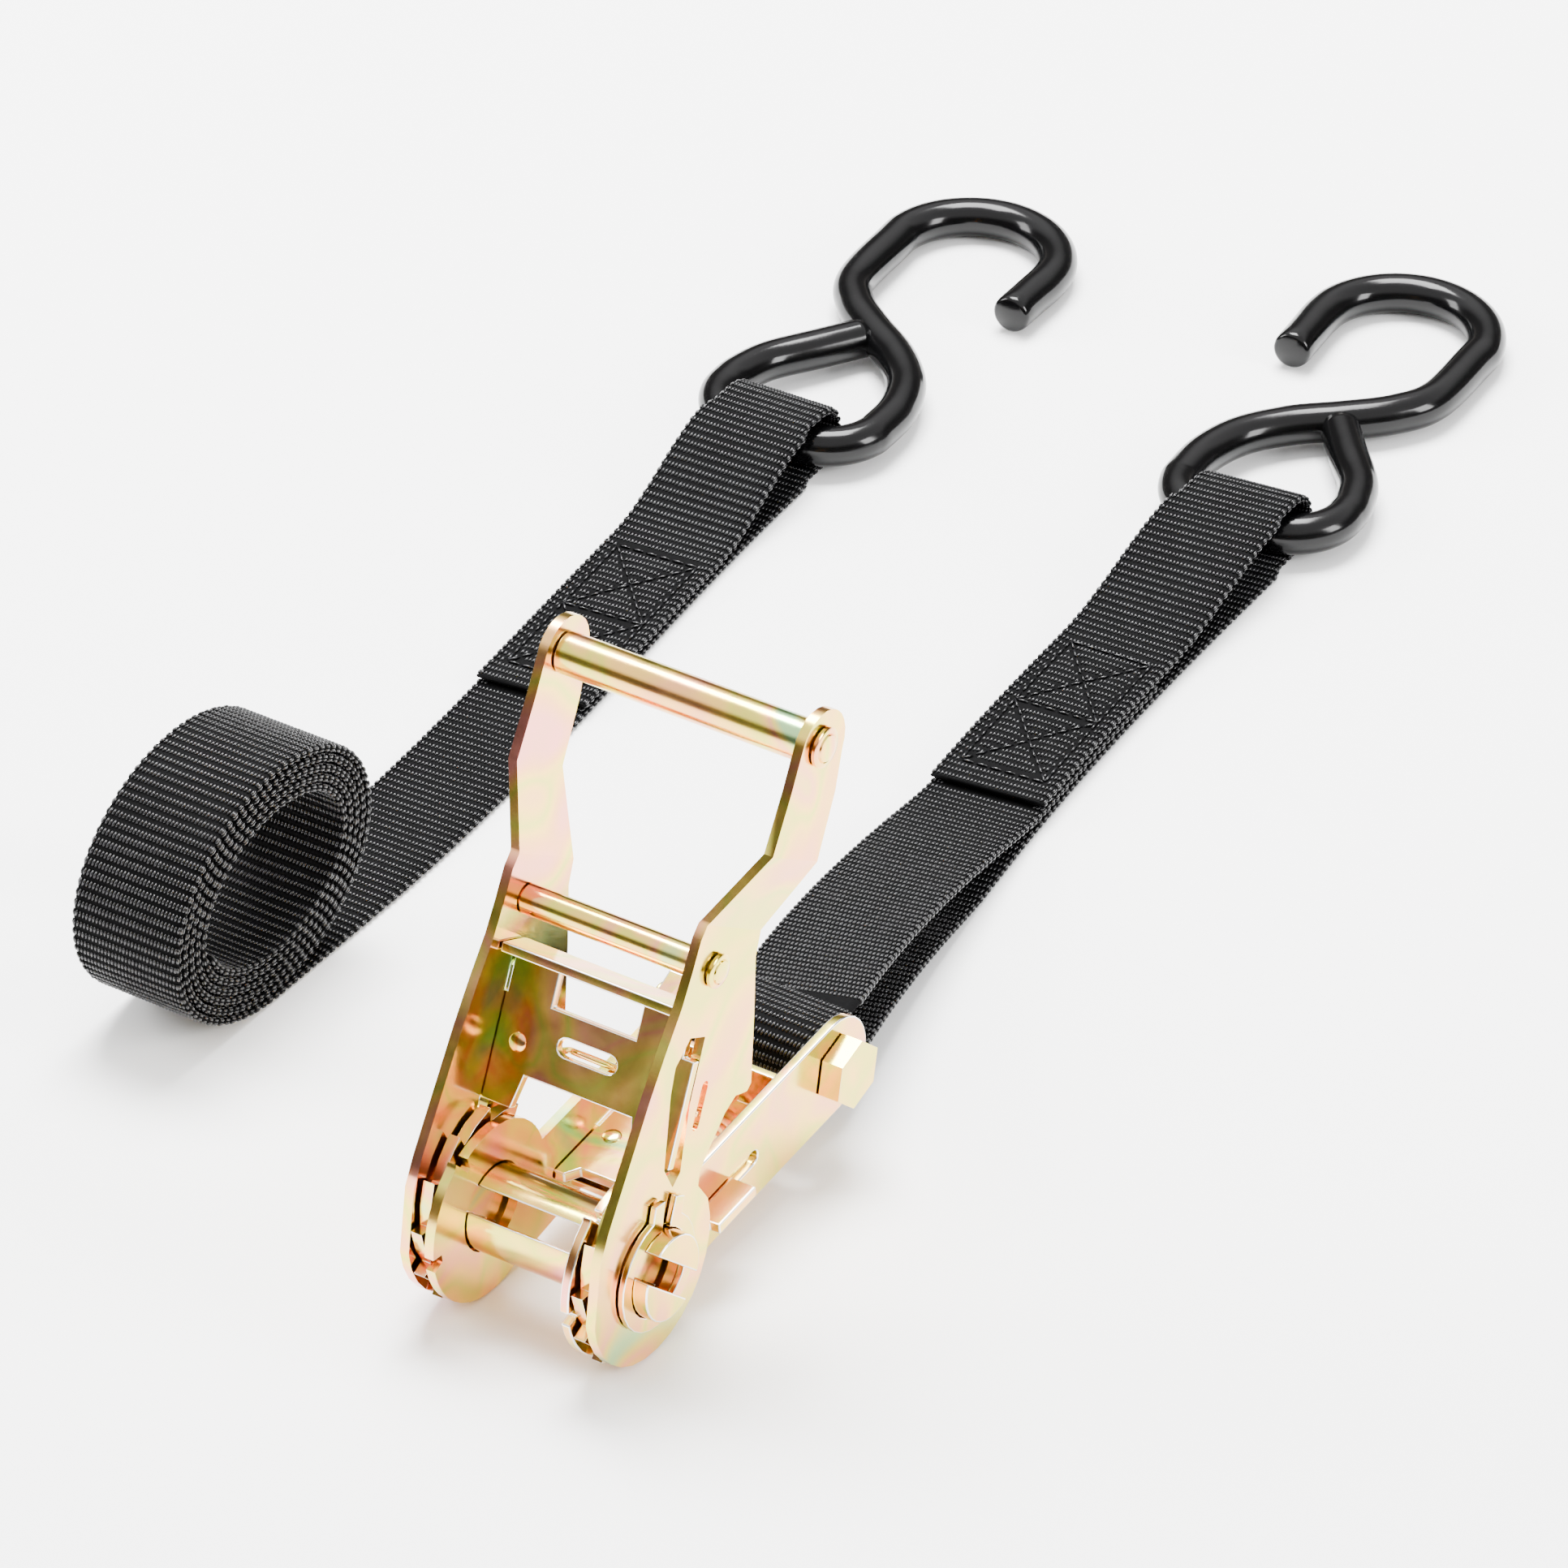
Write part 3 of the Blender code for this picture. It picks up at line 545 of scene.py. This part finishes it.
def swept_wire(path, radii, sides):
    """A round rod along a path, closed at both ends."""
    shape = bmesh.new()
    rows = []
    normal = None
    for i, point in enumerate(path):
        along = (path[min(i + 1, len(path) - 1)] - path[max(i - 1, 0)]).normalized()
        if normal is None:
            normal = along.orthogonal()
        normal = (normal - along * normal.dot(along)).normalized()
        across = along.cross(normal)
        row = []
        for k in range(sides):
            a = 2 * pi * k / sides
            row.append(shape.verts.new(point + radii[i] * (normal * cos(a) + across * sin(a))))
        rows.append(row)
    for row, after in zip(rows, rows[1:]):
        for i in range(sides):
            j = (i + 1) % sides
            shape.faces.new((row[i], row[j], after[j], after[i]))
    shape.faces.new(rows[0][::-1])
    shape.faces.new(rows[-1])
    return shape


bow_half = [
    (21.8, 30.4, -3.3), (19.5, 30.4, -3.2), (13.0, 31.6, -1.7), (7.5, 33.2, -0.2),
    (5.4, 34.0, 0.4), (3.2, 34.6, 2.3), (0.0, 34.8, 2.9),
]
bow_line = bow_half + [(-x, y, z) for x, y, z in bow_half[-2::-1]]
bow_path = smooth_curve([handle_point(*p) for p in bow_line], 6)
bow = add_piece(
    "bow_spring", swept_wire(bow_path, [0.7 * MM] * len(bow_path), 12), spring_wire, None,
    ("handle_spring",),
)
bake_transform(bow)

# ---- S-hooks ----
# Bent steel wire dipped in soft black vinyl. The coating is thick and glossy, runs a little
# uneven along the wire, and fills the corner where the eye closes on the shank.

vinyl = bpy.data.materials.new("dipped_vinyl")
vinyl.use_nodes = True
vinyl_tree = vinyl.node_tree
vinyl_shader = vinyl_tree.nodes["Principled BSDF"]
vinyl_shader.inputs["Base Color"].default_value = (0.0015, 0.0015, 0.0017, 1)
vinyl_shader.inputs["Specular IOR Level"].default_value = 0.22
vinyl_place = vinyl_tree.nodes.new("ShaderNodeTexCoord").outputs["Object"]
vinyl_tree.links.new(
    scaled(vinyl_tree, noise_node(vinyl_tree, vinyl_place, 90.0, 4.0, 0.6), 0.12, 0.20),
    vinyl_shader.inputs["Roughness"],
)
vinyl_bump = vinyl_tree.nodes.new("ShaderNodeBump")
vinyl_bump.inputs["Strength"].default_value = 0.25
vinyl_bump.inputs["Distance"].default_value = 0.12 * MM
lumps = noise_node(vinyl_tree, vinyl_place, 200.0, 3.0, 0.5)
vinyl_tree.links.new(lumps, vinyl_bump.inputs["Height"])
vinyl_tree.links.new(vinyl_bump.outputs["Normal"], vinyl_shader.inputs["Normal"])

WIRE_RADIUS = 4.1 * MM
COATED_RADIUS = 4.3 * MM
HOOK_REACH = 103 * MM  # from the eye to the far side of the bow


def arc(centre, radius, start, end, steps):
    """Points along an arc, both ends included, angles in degrees."""
    points = []
    for i in range(steps + 1):
        a = radians(start + (end - start) * i / steps)
        points.append((centre[0] + radius * cos(a), centre[1] + radius * sin(a)))
    return points


def hook_line():
    """Centre line in the hook's own plane, in millimetres: the eye, then the open bow."""
    corner, half, bow = 12.2, 6.2, 18.5
    eye_end = [(3.6, 44.0), (9.4, 35.0), (15.8, 25.2), (18.2, 17.0)]
    eye = arc((half, corner), corner, 0, -90, 6) + arc((-half, corner), corner, -90, -180, 6)
    shank = [(-17.8, 22.0), (-14.0, 32.2), (-6.6, 40.6), (3.0, 47.6), (11.4, 54.6), (16.9, 63.6)]
    open_bow = arc((0, 84.5), bow, -10, 180, 10) + [(-bow, 77.0), (-bow, 68.4)]
    return eye_end + eye + shank + open_bow


def add_hook(name, joint, mirror, body):
    origin = Vector(joints[joint]["pos_m"])
    swing = joints[joint]["axis"]
    droop = asin((origin.z - WIRE_RADIUS) / HOOK_REACH)
    turn = Matrix.Rotation(atan2(swing[1], swing[0]), 3, "Z") @ Matrix.Rotation(-droop, 3, "X")
    line = [origin + turn @ (Vector((mirror * a, b, 0)) * MM) for a, b in hook_line()]
    path = smooth_curve(line, 8)
    radii = []
    for i, point in enumerate(path):
        uneven = noise.noise(point * 90 + Vector((mirror, 0, 0)))
        left = len(path) - 1 - i
        tip = (0.80, 0.93, 0.985)[left] if left < 3 else 1.0
        radii.append(COATED_RADIUS * tip * (1 + 0.018 * uneven))
    end = path[-1]
    back = (path[-2] - end).normalized()
    path[-3:] = [end + back * (1.3 * MM), end + back * (0.35 * MM), end]
    return add_piece(name + "_dipped", swept_wire(path, radii, 36), vinyl, body, (name,))


add_hook("s_hook_right", "right_hook_swing", 1, "right_hook")
add_hook("s_hook_left", "left_hook_swing", -1, "left_hook")

# ---- short strap: the folded webbing ----
# One length of 25 mm black polyester webbing. It wraps the anchor spacer, runs to the
# hook's eye, folds back and is sewn down. Heavy weft ribs cross it every 2.1 mm.

STRAP_WIDTH = 25.4 * MM
STRAP_THICK = 1.7 * MM
LAYER = 2.0 * MM
GAP = 0.3 * MM
EYE_SLACK = 4.0 * MM
EYE_ROOM = 2.2 * MM
FOLD_NARROWING = 0.9
RIB_PITCH = 2.1 * MM
RIB_STEPS = 6
ANCHOR = (71.0, -6.8)
SPACER_RADIUS = 5.5 * MM
SHORT_LAP = 110 * MM  # the sewn laps, from the cut end to the eye
LONG_LAP = 104 * MM
SHORT_SLOPES = (11 * MM, -0.33, -0.04)  # straight part, then how it swings over

core = bpy.data.materials.new("webbing_core")
core.use_nodes = True
core_tree = core.node_tree
core_shader = core_tree.nodes["Principled BSDF"]
core_shader.inputs["Roughness"].default_value = 0.8
core_shader.inputs["Specular IOR Level"].default_value = 0.06
core_place = core_tree.nodes.new("ShaderNodeTexCoord").outputs["Object"]
core_shade = core_tree.nodes.new("ShaderNodeValToRGB")
colour_stops(core_shade, [(0.3, (0.0004, 0.0004, 0.0005)), (0.7, (0.0012, 0.0012, 0.0014))])
core_tree.links.new(noise_node(core_tree, core_place, 1500.0, 3.0), core_shade.inputs["Fac"])
core_tree.links.new(core_shade.outputs["Color"], core_shader.inputs["Base Color"])


def ease(share):
    return share * share * (3 - 2 * share)


def slope(start, end, steps):
    """An S-shaped run between two (distance, height) points, ends left out."""
    points = []
    for i in range(1, steps):
        t = i / steps
        distance = start[0] + (end[0] - start[0]) * t
        points.append((distance, start[1] + (end[1] - start[1]) * ease(t)))
    return points


def layer_height(index):
    return STRAP_THICK / 2 + index * LAYER


def fold_round_eye(at):
    """Over the wire, down through the eye and back along the ground."""
    reach = WIRE_RADIUS + (GAP + EYE_ROOM + STRAP_THICK) / 2
    centre = (at + EYE_SLACK - EYE_ROOM / 2, STRAP_THICK / 2 + reach)
    return [(at - 5 * MM, centre[1] + reach)] + arc(centre, reach, 90, -90, 10)


def short_line(length, bolt_height):
    """Cut end, over the hook's eye, back to the anchor spacer and down to the stitches."""
    cut, stitched = length - SHORT_LAP, length - 52 * MM
    ground, middle, top = layer_height(0), layer_height(1), layer_height(2)
    fold = fold_round_eye(length)
    line = [(cut, top), (cut + 20 * MM, top), (stitched, top)]
    line += slope((stitched, top), fold[0], 6) + fold
    line += [(length - 12 * MM, ground), (length - 30 * MM, ground)]
    line += [(cut, ground), (cut - 22 * MM, ground)]
    line += [(cut - 31 * MM, ground + 0.25 * MM), (cut - 40 * MM, ground + 1.35 * MM)]
    wrap = SPACER_RADIUS + GAP + STRAP_THICK / 2
    line += arc((0, bolt_height), wrap, -99, -282, 12)
    line += [(cut - 14 * MM, middle + 2.35 * MM), (cut - 8 * MM, middle + 1.1 * MM)]
    line += [(cut - 2.5 * MM, middle + 0.2 * MM), (cut + 3 * MM, middle)]
    return line + [(cut + 30 * MM, middle), (stitched - 6 * MM, middle)]


def even_line(line):
    """The line at even steps, a whole number of ribs long, with its corners eased."""
    corners = np.array(line)
    travelled = np.r_[0, np.cumsum(np.hypot(*np.diff(corners, axis=0).T))]
    ribs = round(travelled[-1] / RIB_PITCH)
    at = np.linspace(0, travelled[-1], ribs * RIB_STEPS + 1)
    even = np.c_[np.interp(at, travelled, corners[:, 0]), np.interp(at, travelled, corners[:, 1])]
    for _ in range(3):
        even[4:-4] = sum(even[4 + k:len(even) - 4 + k] for k in range(-4, 5)) / 9
    return even, travelled[-1]


def lay_along(line, start, end, slopes, end_yaw):
    """Stand a (distance, height) line on a plan line from start to end. The plan line runs
    along +Y at first, then swings over with the given sideways slopes at its two ends,
    and the webbing turns square to the eye where it reaches it."""
    straight, leaving, arriving = slopes
    length = end.y - start.y - straight
    drift = end.x - start.x
    points, sides = [], []
    for a, b in line:
        t = max(a - straight, 0) / length
        over = length * leaving * (t**3 - 2 * t**2 + t) + length * arriving * (t**3 - t**2)
        over += drift * (3 * t**2 - 2 * t**3)
        heading = leaving * (3 * t**2 - 4 * t + 1) + arriving * (3 * t**2 - 2 * t)
        heading += drift / length * 6 * (t - t**2)
        if t == 0:
            over, heading = 0, 0
        near_eye = ease(min(max((a - straight - length) / (45 * MM) + 1.2, 0), 1))
        heading = heading * (1 - near_eye) - tan(end_yaw) * near_eye
        narrow = ease(min(max((a - straight - length) / (4 * MM) + 2, 0), 1))
        side = Vector((1, -heading, 0)).normalized() * (1 - narrow * (1 - FOLD_NARROWING))
        points.append(start + Vector((over, a, b)))
        sides.append(side)
    return points, sides


SEAM_INSET = 7 * MM
BOX_HALF_WIDTH = 9.3 * MM
BOX_LENGTH = 24.0 * MM


def seam_segments(first):
    """Two sewn boxes in a row, each with a cross, as (distance, offset) segments."""
    segments = []
    w = BOX_HALF_WIDTH
    for box in range(2):
        low = first + box * BOX_LENGTH
        high = low + BOX_LENGTH
        segments += [
            ((low, -w), (high, -w)), ((low, w), (high, w)), ((low, -w), (high, w)),
            ((low, w), (high, -w)), ((high, -w), (high, w)),
        ]
    return segments + [((first, -w), (first, w))]


def seam_depth(a, x, segments):
    """How far the sewing pulls the webbing in at a place."""
    nearest = 1.0
    for (a0, x0), (a1, x1) in segments:
        da, dx = a1 - a0, x1 - x0
        t = min(max(((a - a0) * da + (x - x0) * dx) / (da * da + dx * dx), 0), 1)
        nearest = min(nearest, ((a - a0 - t * da) ** 2 + (x - x0 - t * dx) ** 2) ** 0.5)
    return np.exp(-((nearest / (1.3 * MM)) ** 2))


CORE_HALF = 0.52 * MM
SEAM_PULL = 0.42 * MM
RIB_SWELL = 0.14 * MM
COLUMNS = 17


def strap_sections(line, points, sides, sewn):
    """For each station: centre, along, side, up, distance, and which face is sewn."""
    stations = []
    for i, point in enumerate(points):
        along = (points[min(i + 1, len(points) - 1)] - points[max(i - 1, 0)]).normalized()
        side = sides[i]
        up = side.normalized().cross(along).normalized()
        stations.append((point, along, side, up, line[i][0], sewn(i, line[i])))
    return stations


def webbing_core(name, stations, segments, material, body, node):
    """The ribbed body of the webbing: a closed strip with scalloped edges."""
    shape = bmesh.new()
    rows = []
    for i, (point, _, side, up, a, sewn) in enumerate(stations):
        swell = 0.5 - 0.5 * cos(2 * pi * i / RIB_STEPS)
        other = 1 - swell
        half = CORE_HALF + RIB_SWELL * swell
        ring = []
        for face in (1, -1):
            for c in range(COLUMNS):
                u = face * (1 - 2 * c / (COLUMNS - 1))
                edge = swell if u > 0 else other
                x = u * (STRAP_WIDTH / 2 - 0.55 * MM + 0.25 * MM * edge)
                z = face * half * (1 - 0.35 * abs(u) ** 10)
                if sewn == face:
                    z -= face * SEAM_PULL * seam_depth(a, x, segments)
                ring.append(point + side * x + up * z)
            x = -face * (STRAP_WIDTH / 2 - 0.25 * MM + 0.25 * MM * (other if face > 0 else swell))
            ring.append(point + side * x)
        rows.append([shape.verts.new(p) for p in ring])
    count = len(rows[0])
    for row, after in zip(rows, rows[1:]):
        for i in range(count):
            j = (i + 1) % count
            shape.faces.new((row[i], row[j], after[j], after[i]))
    shape.faces.new(rows[0][::-1])
    shape.faces.new(rows[-1])
    bmesh.ops.recalc_face_normals(shape, faces=shape.faces)
    return add_piece(name, shape, material, body, (node,))


def short_sewn(_, place):
    """The sewing pulls on the top of the lap."""
    return 1 if place[1] > layer_height(1.5) and place[0] < short_length - 50 * MM else 0


bolt = frame_point(0, *ANCHOR)
short_start = Vector((bolt.x, bolt.y, 0))
short_eye = Vector(joints["right_hook_swing"]["pos_m"])
short_length = short_eye.y - short_start.y
short_yaw = atan2(joints["right_hook_swing"]["axis"][1], joints["right_hook_swing"]["axis"][0])
short_even, short_cut_length = even_line(short_line(short_length, bolt.z))
short_points, short_sides = lay_along(
    short_even, short_start, Vector((short_eye.x, short_eye.y, 0)), SHORT_SLOPES, short_yaw
)
short_seams = seam_segments(short_length - SHORT_LAP + SEAM_INSET)
short_stations = strap_sections(short_even, short_points, short_sides, short_sewn)
short_strap = webbing_core(
    "short_strap_core", short_stations, short_seams, core, "frame", "short_strap"
)

# ---- short strap: face yarns and stitches ----
# Shiny warp yarns float over each rib, about 30 across the width, and wrap round the
# edges. Bonded black thread sews the lap down in two crossed boxes.

yarn = bpy.data.materials.new("polyester_yarn")
yarn.use_nodes = True
yarn_tree = yarn.node_tree
yarn_shader = yarn_tree.nodes["Principled BSDF"]
yarn_shader.inputs["Specular IOR Level"].default_value = 0.42
yarn_place = yarn_tree.nodes.new("ShaderNodeTexCoord").outputs["Object"]
shade = yarn_tree.nodes.new("ShaderNodeAttribute")
shade.attribute_name = "shade"
yarn_colour = yarn_tree.nodes.new("ShaderNodeValToRGB")
colour_stops(yarn_colour, [(0.0, (0.0012, 0.0012, 0.0015)), (1.0, (0.0055, 0.0055, 0.0066))])
yarn_tree.links.new(shade.outputs["Fac"], yarn_colour.inputs["Fac"])
yarn_tree.links.new(yarn_colour.outputs["Color"], yarn_shader.inputs["Base Color"])
yarn_tree.links.new(
    scaled(yarn_tree, noise_node(yarn_tree, yarn_place, 70.0, 3.0), 0.20, 0.34),
    yarn_shader.inputs["Roughness"],
)
filaments = yarn_tree.nodes.new("ShaderNodeBump")
filaments.inputs["Strength"].default_value = 0.35
filaments.inputs["Distance"].default_value = 0.05 * MM
yarn_tree.links.new(noise_node(yarn_tree, yarn_place, 5000.0, 2.0), filaments.inputs["Height"])
yarn_tree.links.new(filaments.outputs["Normal"], yarn_shader.inputs["Normal"])


def make_yarn_tree():
    """Lay one small closed grain of yarn on every point, along its own direction."""
    tree, start, end = new_tree("laid_yarns", [
        ("Geometry", "Geometry", None), ("Half width", "Float", 0.0004),
        ("Half length", "Float", 0.001), ("Half height", "Float", 0.0003),
        ("Seed", "Int", 1), ("Material", "Material", None),
    ])
    link = tree.links.new

    def stored(name):
        node = tree.nodes.new("GeometryNodeInputNamedAttribute")
        node.data_type = "FLOAT_VECTOR"
        node.inputs["Name"].default_value = name
        return node.outputs["Attribute"]

    def chance(low, high):
        node = tree.nodes.new("FunctionNodeRandomValue")
        node.inputs[2].default_value = low
        node.inputs[3].default_value = high
        link(start.outputs["Seed"], node.inputs["Seed"])
        return node.outputs[1]

    shades = tree.nodes.new("GeometryNodeStoreNamedAttribute")
    shades.inputs["Name"].default_value = "shade"
    link(start.outputs["Geometry"], shades.inputs["Geometry"])
    link(chance(0.0, 1.0), shades.inputs["Value"])
    upright = tree.nodes.new("FunctionNodeAlignRotationToVector")
    upright.axis = "Z"
    link(stored("up"), upright.inputs["Vector"])
    aligned = tree.nodes.new("FunctionNodeAlignRotationToVector")
    aligned.axis = "Y"
    aligned.pivot_axis = "Z"
    link(upright.outputs["Rotation"], aligned.inputs["Rotation"])
    link(stored("ahead"), aligned.inputs["Vector"])
    sizes = tree.nodes.new("ShaderNodeCombineXYZ")
    for name, axis in (("Half width", "X"), ("Half length", "Y"), ("Half height", "Z")):
        link(start.outputs[name], sizes.inputs[axis])
    varied = tree.nodes.new("ShaderNodeVectorMath")
    varied.operation = "SCALE"
    link(sizes.outputs["Vector"], varied.inputs[0])
    link(chance(0.93, 1.07), varied.inputs["Scale"])
    grain = tree.nodes.new("GeometryNodeMeshIcoSphere")
    grain.inputs["Radius"].default_value = 1.0
    grain.inputs["Subdivisions"].default_value = 1
    place = tree.nodes.new("GeometryNodeInstanceOnPoints")
    link(shades.outputs["Geometry"], place.inputs["Points"])
    link(grain.outputs["Mesh"], place.inputs["Instance"])
    link(aligned.outputs["Rotation"], place.inputs["Rotation"])
    link(varied.outputs["Vector"], place.inputs["Scale"])
    realize = tree.nodes.new("GeometryNodeRealizeInstances")
    smooth = tree.nodes.new("GeometryNodeSetShadeSmooth")
    paint = tree.nodes.new("GeometryNodeSetMaterial")
    link(place.outputs["Instances"], realize.inputs["Geometry"])
    link(realize.outputs["Geometry"], smooth.inputs["Geometry"])
    link(smooth.outputs["Geometry"], paint.inputs["Geometry"])
    link(start.outputs["Material"], paint.inputs["Material"])
    link(paint.outputs["Geometry"], end.inputs["Geometry"])
    return tree


yarn_nodes = make_yarn_tree()


def lay_yarns(name, places, sizes, material, body, seed):
    """places holds (point, ahead, up) for each grain."""
    mesh = bpy.data.meshes.new(name)
    mesh.from_pydata([p for p, _, _ in places], [], [])
    for label, column in (("ahead", 1), ("up", 2)):
        values = np.array([place[column] for place in places], np.float32).ravel()
        mesh.attributes.new(label, "FLOAT_VECTOR", "POINT").data.foreach_set("vector", values)
    width, length, height = sizes
    piece = run_tree(name, yarn_nodes, mesh, {
        "Half width": width, "Half length": length, "Half height": height, "Seed": seed,
        "Material": material,
    })
    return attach(piece, body)


YARNS_ACROSS = 30
YARN_SLANT = radians(9)


def face_yarns(stations, segments, core_piece):
    """Where the yarns float: on both faces and round both edges of every rib, except
    where two layers lie against each other."""
    shape = bmesh.new()
    shape.from_mesh(core_piece.data)
    layers = BVHTree.FromBMesh(shape)
    shape.free()
    places = []
    rows = (len(stations) - 1) // RIB_STEPS
    for row in range(rows):
        point, along, side, up, a, sewn = stations[row * RIB_STEPS + RIB_STEPS // 2]
        across = side.normalized()
        width = side.length * (STRAP_WIDTH / 2 - 0.45 * MM)
        for face in (1, -1):
            normal = up * face
            ahead = along * cos(YARN_SLANT) + across * (face * sin(YARN_SLANT))
            for j in range(YARNS_ACROSS):
                u = (2 * j + 1.0 + (0.5 if row % 2 else -0.5)) / YARNS_ACROSS - 1
                x = u * width
                height = CORE_HALF + RIB_SWELL - 0.06 * MM
                pull = seam_depth(a, x, segments) if sewn == face else 0
                if pull > 0.75:
                    continue
                height -= SEAM_PULL * pull
                spot = point + across * x + normal * height
                if abs(u) < 0.8:
                    hit = layers.ray_cast(spot + normal * 0.15 * MM, normal, 0.8 * MM)
                    if hit[0] is not None:
                        continue
                places.append((spot, ahead, normal))
        for edge in (1, -1):
            out = across * edge
            for lift in (0.36, -0.36):
                normal = (out + up * lift * 1.6).normalized()
                spot = point + across * (edge * (width + 0.16 * MM)) + up * (lift * MM)
                places.append((spot, along, normal))
    return places


def seam_stitches(stations, segments):
    """Thread stitches, 3 mm apart, on the sewn face above the seam lines."""
    sewn = [s for s in stations if s[5]]
    distances = np.array([s[4] for s in sewn])
    order = np.argsort(distances)
    distances = distances[order]
    places = []
    for (a0, x0), (a1, x1) in segments:
        length = ((a1 - a0) ** 2 + (x1 - x0) ** 2) ** 0.5
        count = max(round(length / (3.0 * MM)), 1)
        for k in range(count):
            t = (k + 0.5) / count
            a, x = a0 + (a1 - a0) * t, x0 + (x1 - x0) * t
            index = order[min(np.searchsorted(distances, a), len(order) - 1)]
            point, along, side, up, _, face = sewn[index]
            forward = Vector((0, 1, 0)) if along.y > 0 else Vector((0, -1, 0))
            ahead = (along * forward.y * (a1 - a0) + side.normalized() * (x1 - x0)).normalized()
            spot = point + side.normalized() * x + up * (face * (CORE_HALF - 0.02 * MM))
            places.append((spot, ahead, up * face))
    return places


YARN_SIZE = (0.36 * MM, 0.86 * MM, 0.34 * MM)
STITCH_SIZE = (0.30 * MM, 1.55 * MM, 0.26 * MM)
short_yarns = lay_yarns(
    "short_strap_yarns", face_yarns(short_stations, short_seams, short_strap), YARN_SIZE, yarn,
    "frame", 3,
)
short_stitches = lay_yarns(
    "short_strap_stitches", seam_stitches(short_stations, short_seams), STITCH_SIZE, yarn,
    "frame", 4,
)

# ---- long strap ----
# The same webbing, loose from the buckle: rolled up from its free end, with a lap sewn
# round the left hook's eye.

ROLL_AXES = (32.9 * MM, 26.2 * MM)
ROLL_TILT = radians(7.0)
ROLL_TURNS = 5.2
ROLL_PITCH = 2.05 * MM
ROLL_STEPS = 56
ROLL_CENTRE = (-115.7 * MM, 55.0 * MM)


def roll_line():
    """Spiral of the rolled part, from the inner free end out to the ground."""
    wide, tall = ROLL_AXES
    start = atan2(tall * cos(ROLL_TILT), wide * sin(ROLL_TILT)) - pi
    points = []
    for i in range(int(ROLL_TURNS * ROLL_STEPS), -1, -1):
        a = start - 2 * pi * i / ROLL_STEPS
        shrink = ROLL_PITCH * i / ROLL_STEPS
        u, v = (wide - shrink) * cos(a), (tall - shrink) * sin(a)
        along = u * cos(ROLL_TILT) - v * sin(ROLL_TILT)
        points.append((along, u * sin(ROLL_TILT) + v * cos(ROLL_TILT)))
    lowest = min(p[1] for p in points)
    return [(a, b - lowest + STRAP_THICK / 2) for a, b in points]


def long_line(length):
    line = roll_line()
    lap = length - 44 * MM
    fold = fold_round_eye(length)
    for share in (0.1, 0.25, 0.4, 0.55, 0.7, 0.85):
        line.append((length * share, layer_height(0)))
    line += [(length - 12 * MM, layer_height(0))] + fold[::-1]
    line += slope(fold[0], (lap, layer_height(1)), 6)
    return line + [(lap, layer_height(1)), (length - LONG_LAP, layer_height(1))]


long_eye = Vector(joints["left_hook_swing"]["pos_m"])
long_start = Vector((spindle.x + ROLL_CENTRE[0], spindle.y + ROLL_CENTRE[1], 0))
long_length = long_eye.y - long_start.y
long_yaw = atan2(joints["left_hook_swing"]["axis"][1], joints["left_hook_swing"]["axis"][0])
long_even, long_cut_length = even_line(long_line(long_length))
long_points, long_sides = lay_along(
    long_even, long_start, Vector((long_eye.x, long_eye.y, 0)),
    (ROLL_AXES[0], 0, -tan(long_yaw)), long_yaw,
)


def long_sewn(i, place):
    """The lap is the last part of the line, and its top is the line's underside."""
    in_lap = i > 0.8 * len(long_even) and place[1] > layer_height(0.5)
    return -1 if in_lap and place[0] < long_length - 42 * MM else 0


long_seams = seam_segments(long_length - LONG_LAP + SEAM_INSET)
long_stations = strap_sections(long_even, long_points, long_sides, long_sewn)
long_strap = webbing_core(
    "long_strap_core", long_stations, long_seams, core, "long_strap", "long_strap"
)
long_yarns = lay_yarns(
    "long_strap_yarns", face_yarns(long_stations, long_seams, long_strap), YARN_SIZE, yarn,
    "long_strap", 5,
)
long_stitches = lay_yarns(
    "long_strap_stitches", seam_stitches(long_stations, long_seams), STITCH_SIZE, yarn,
    "long_strap", 6,
)
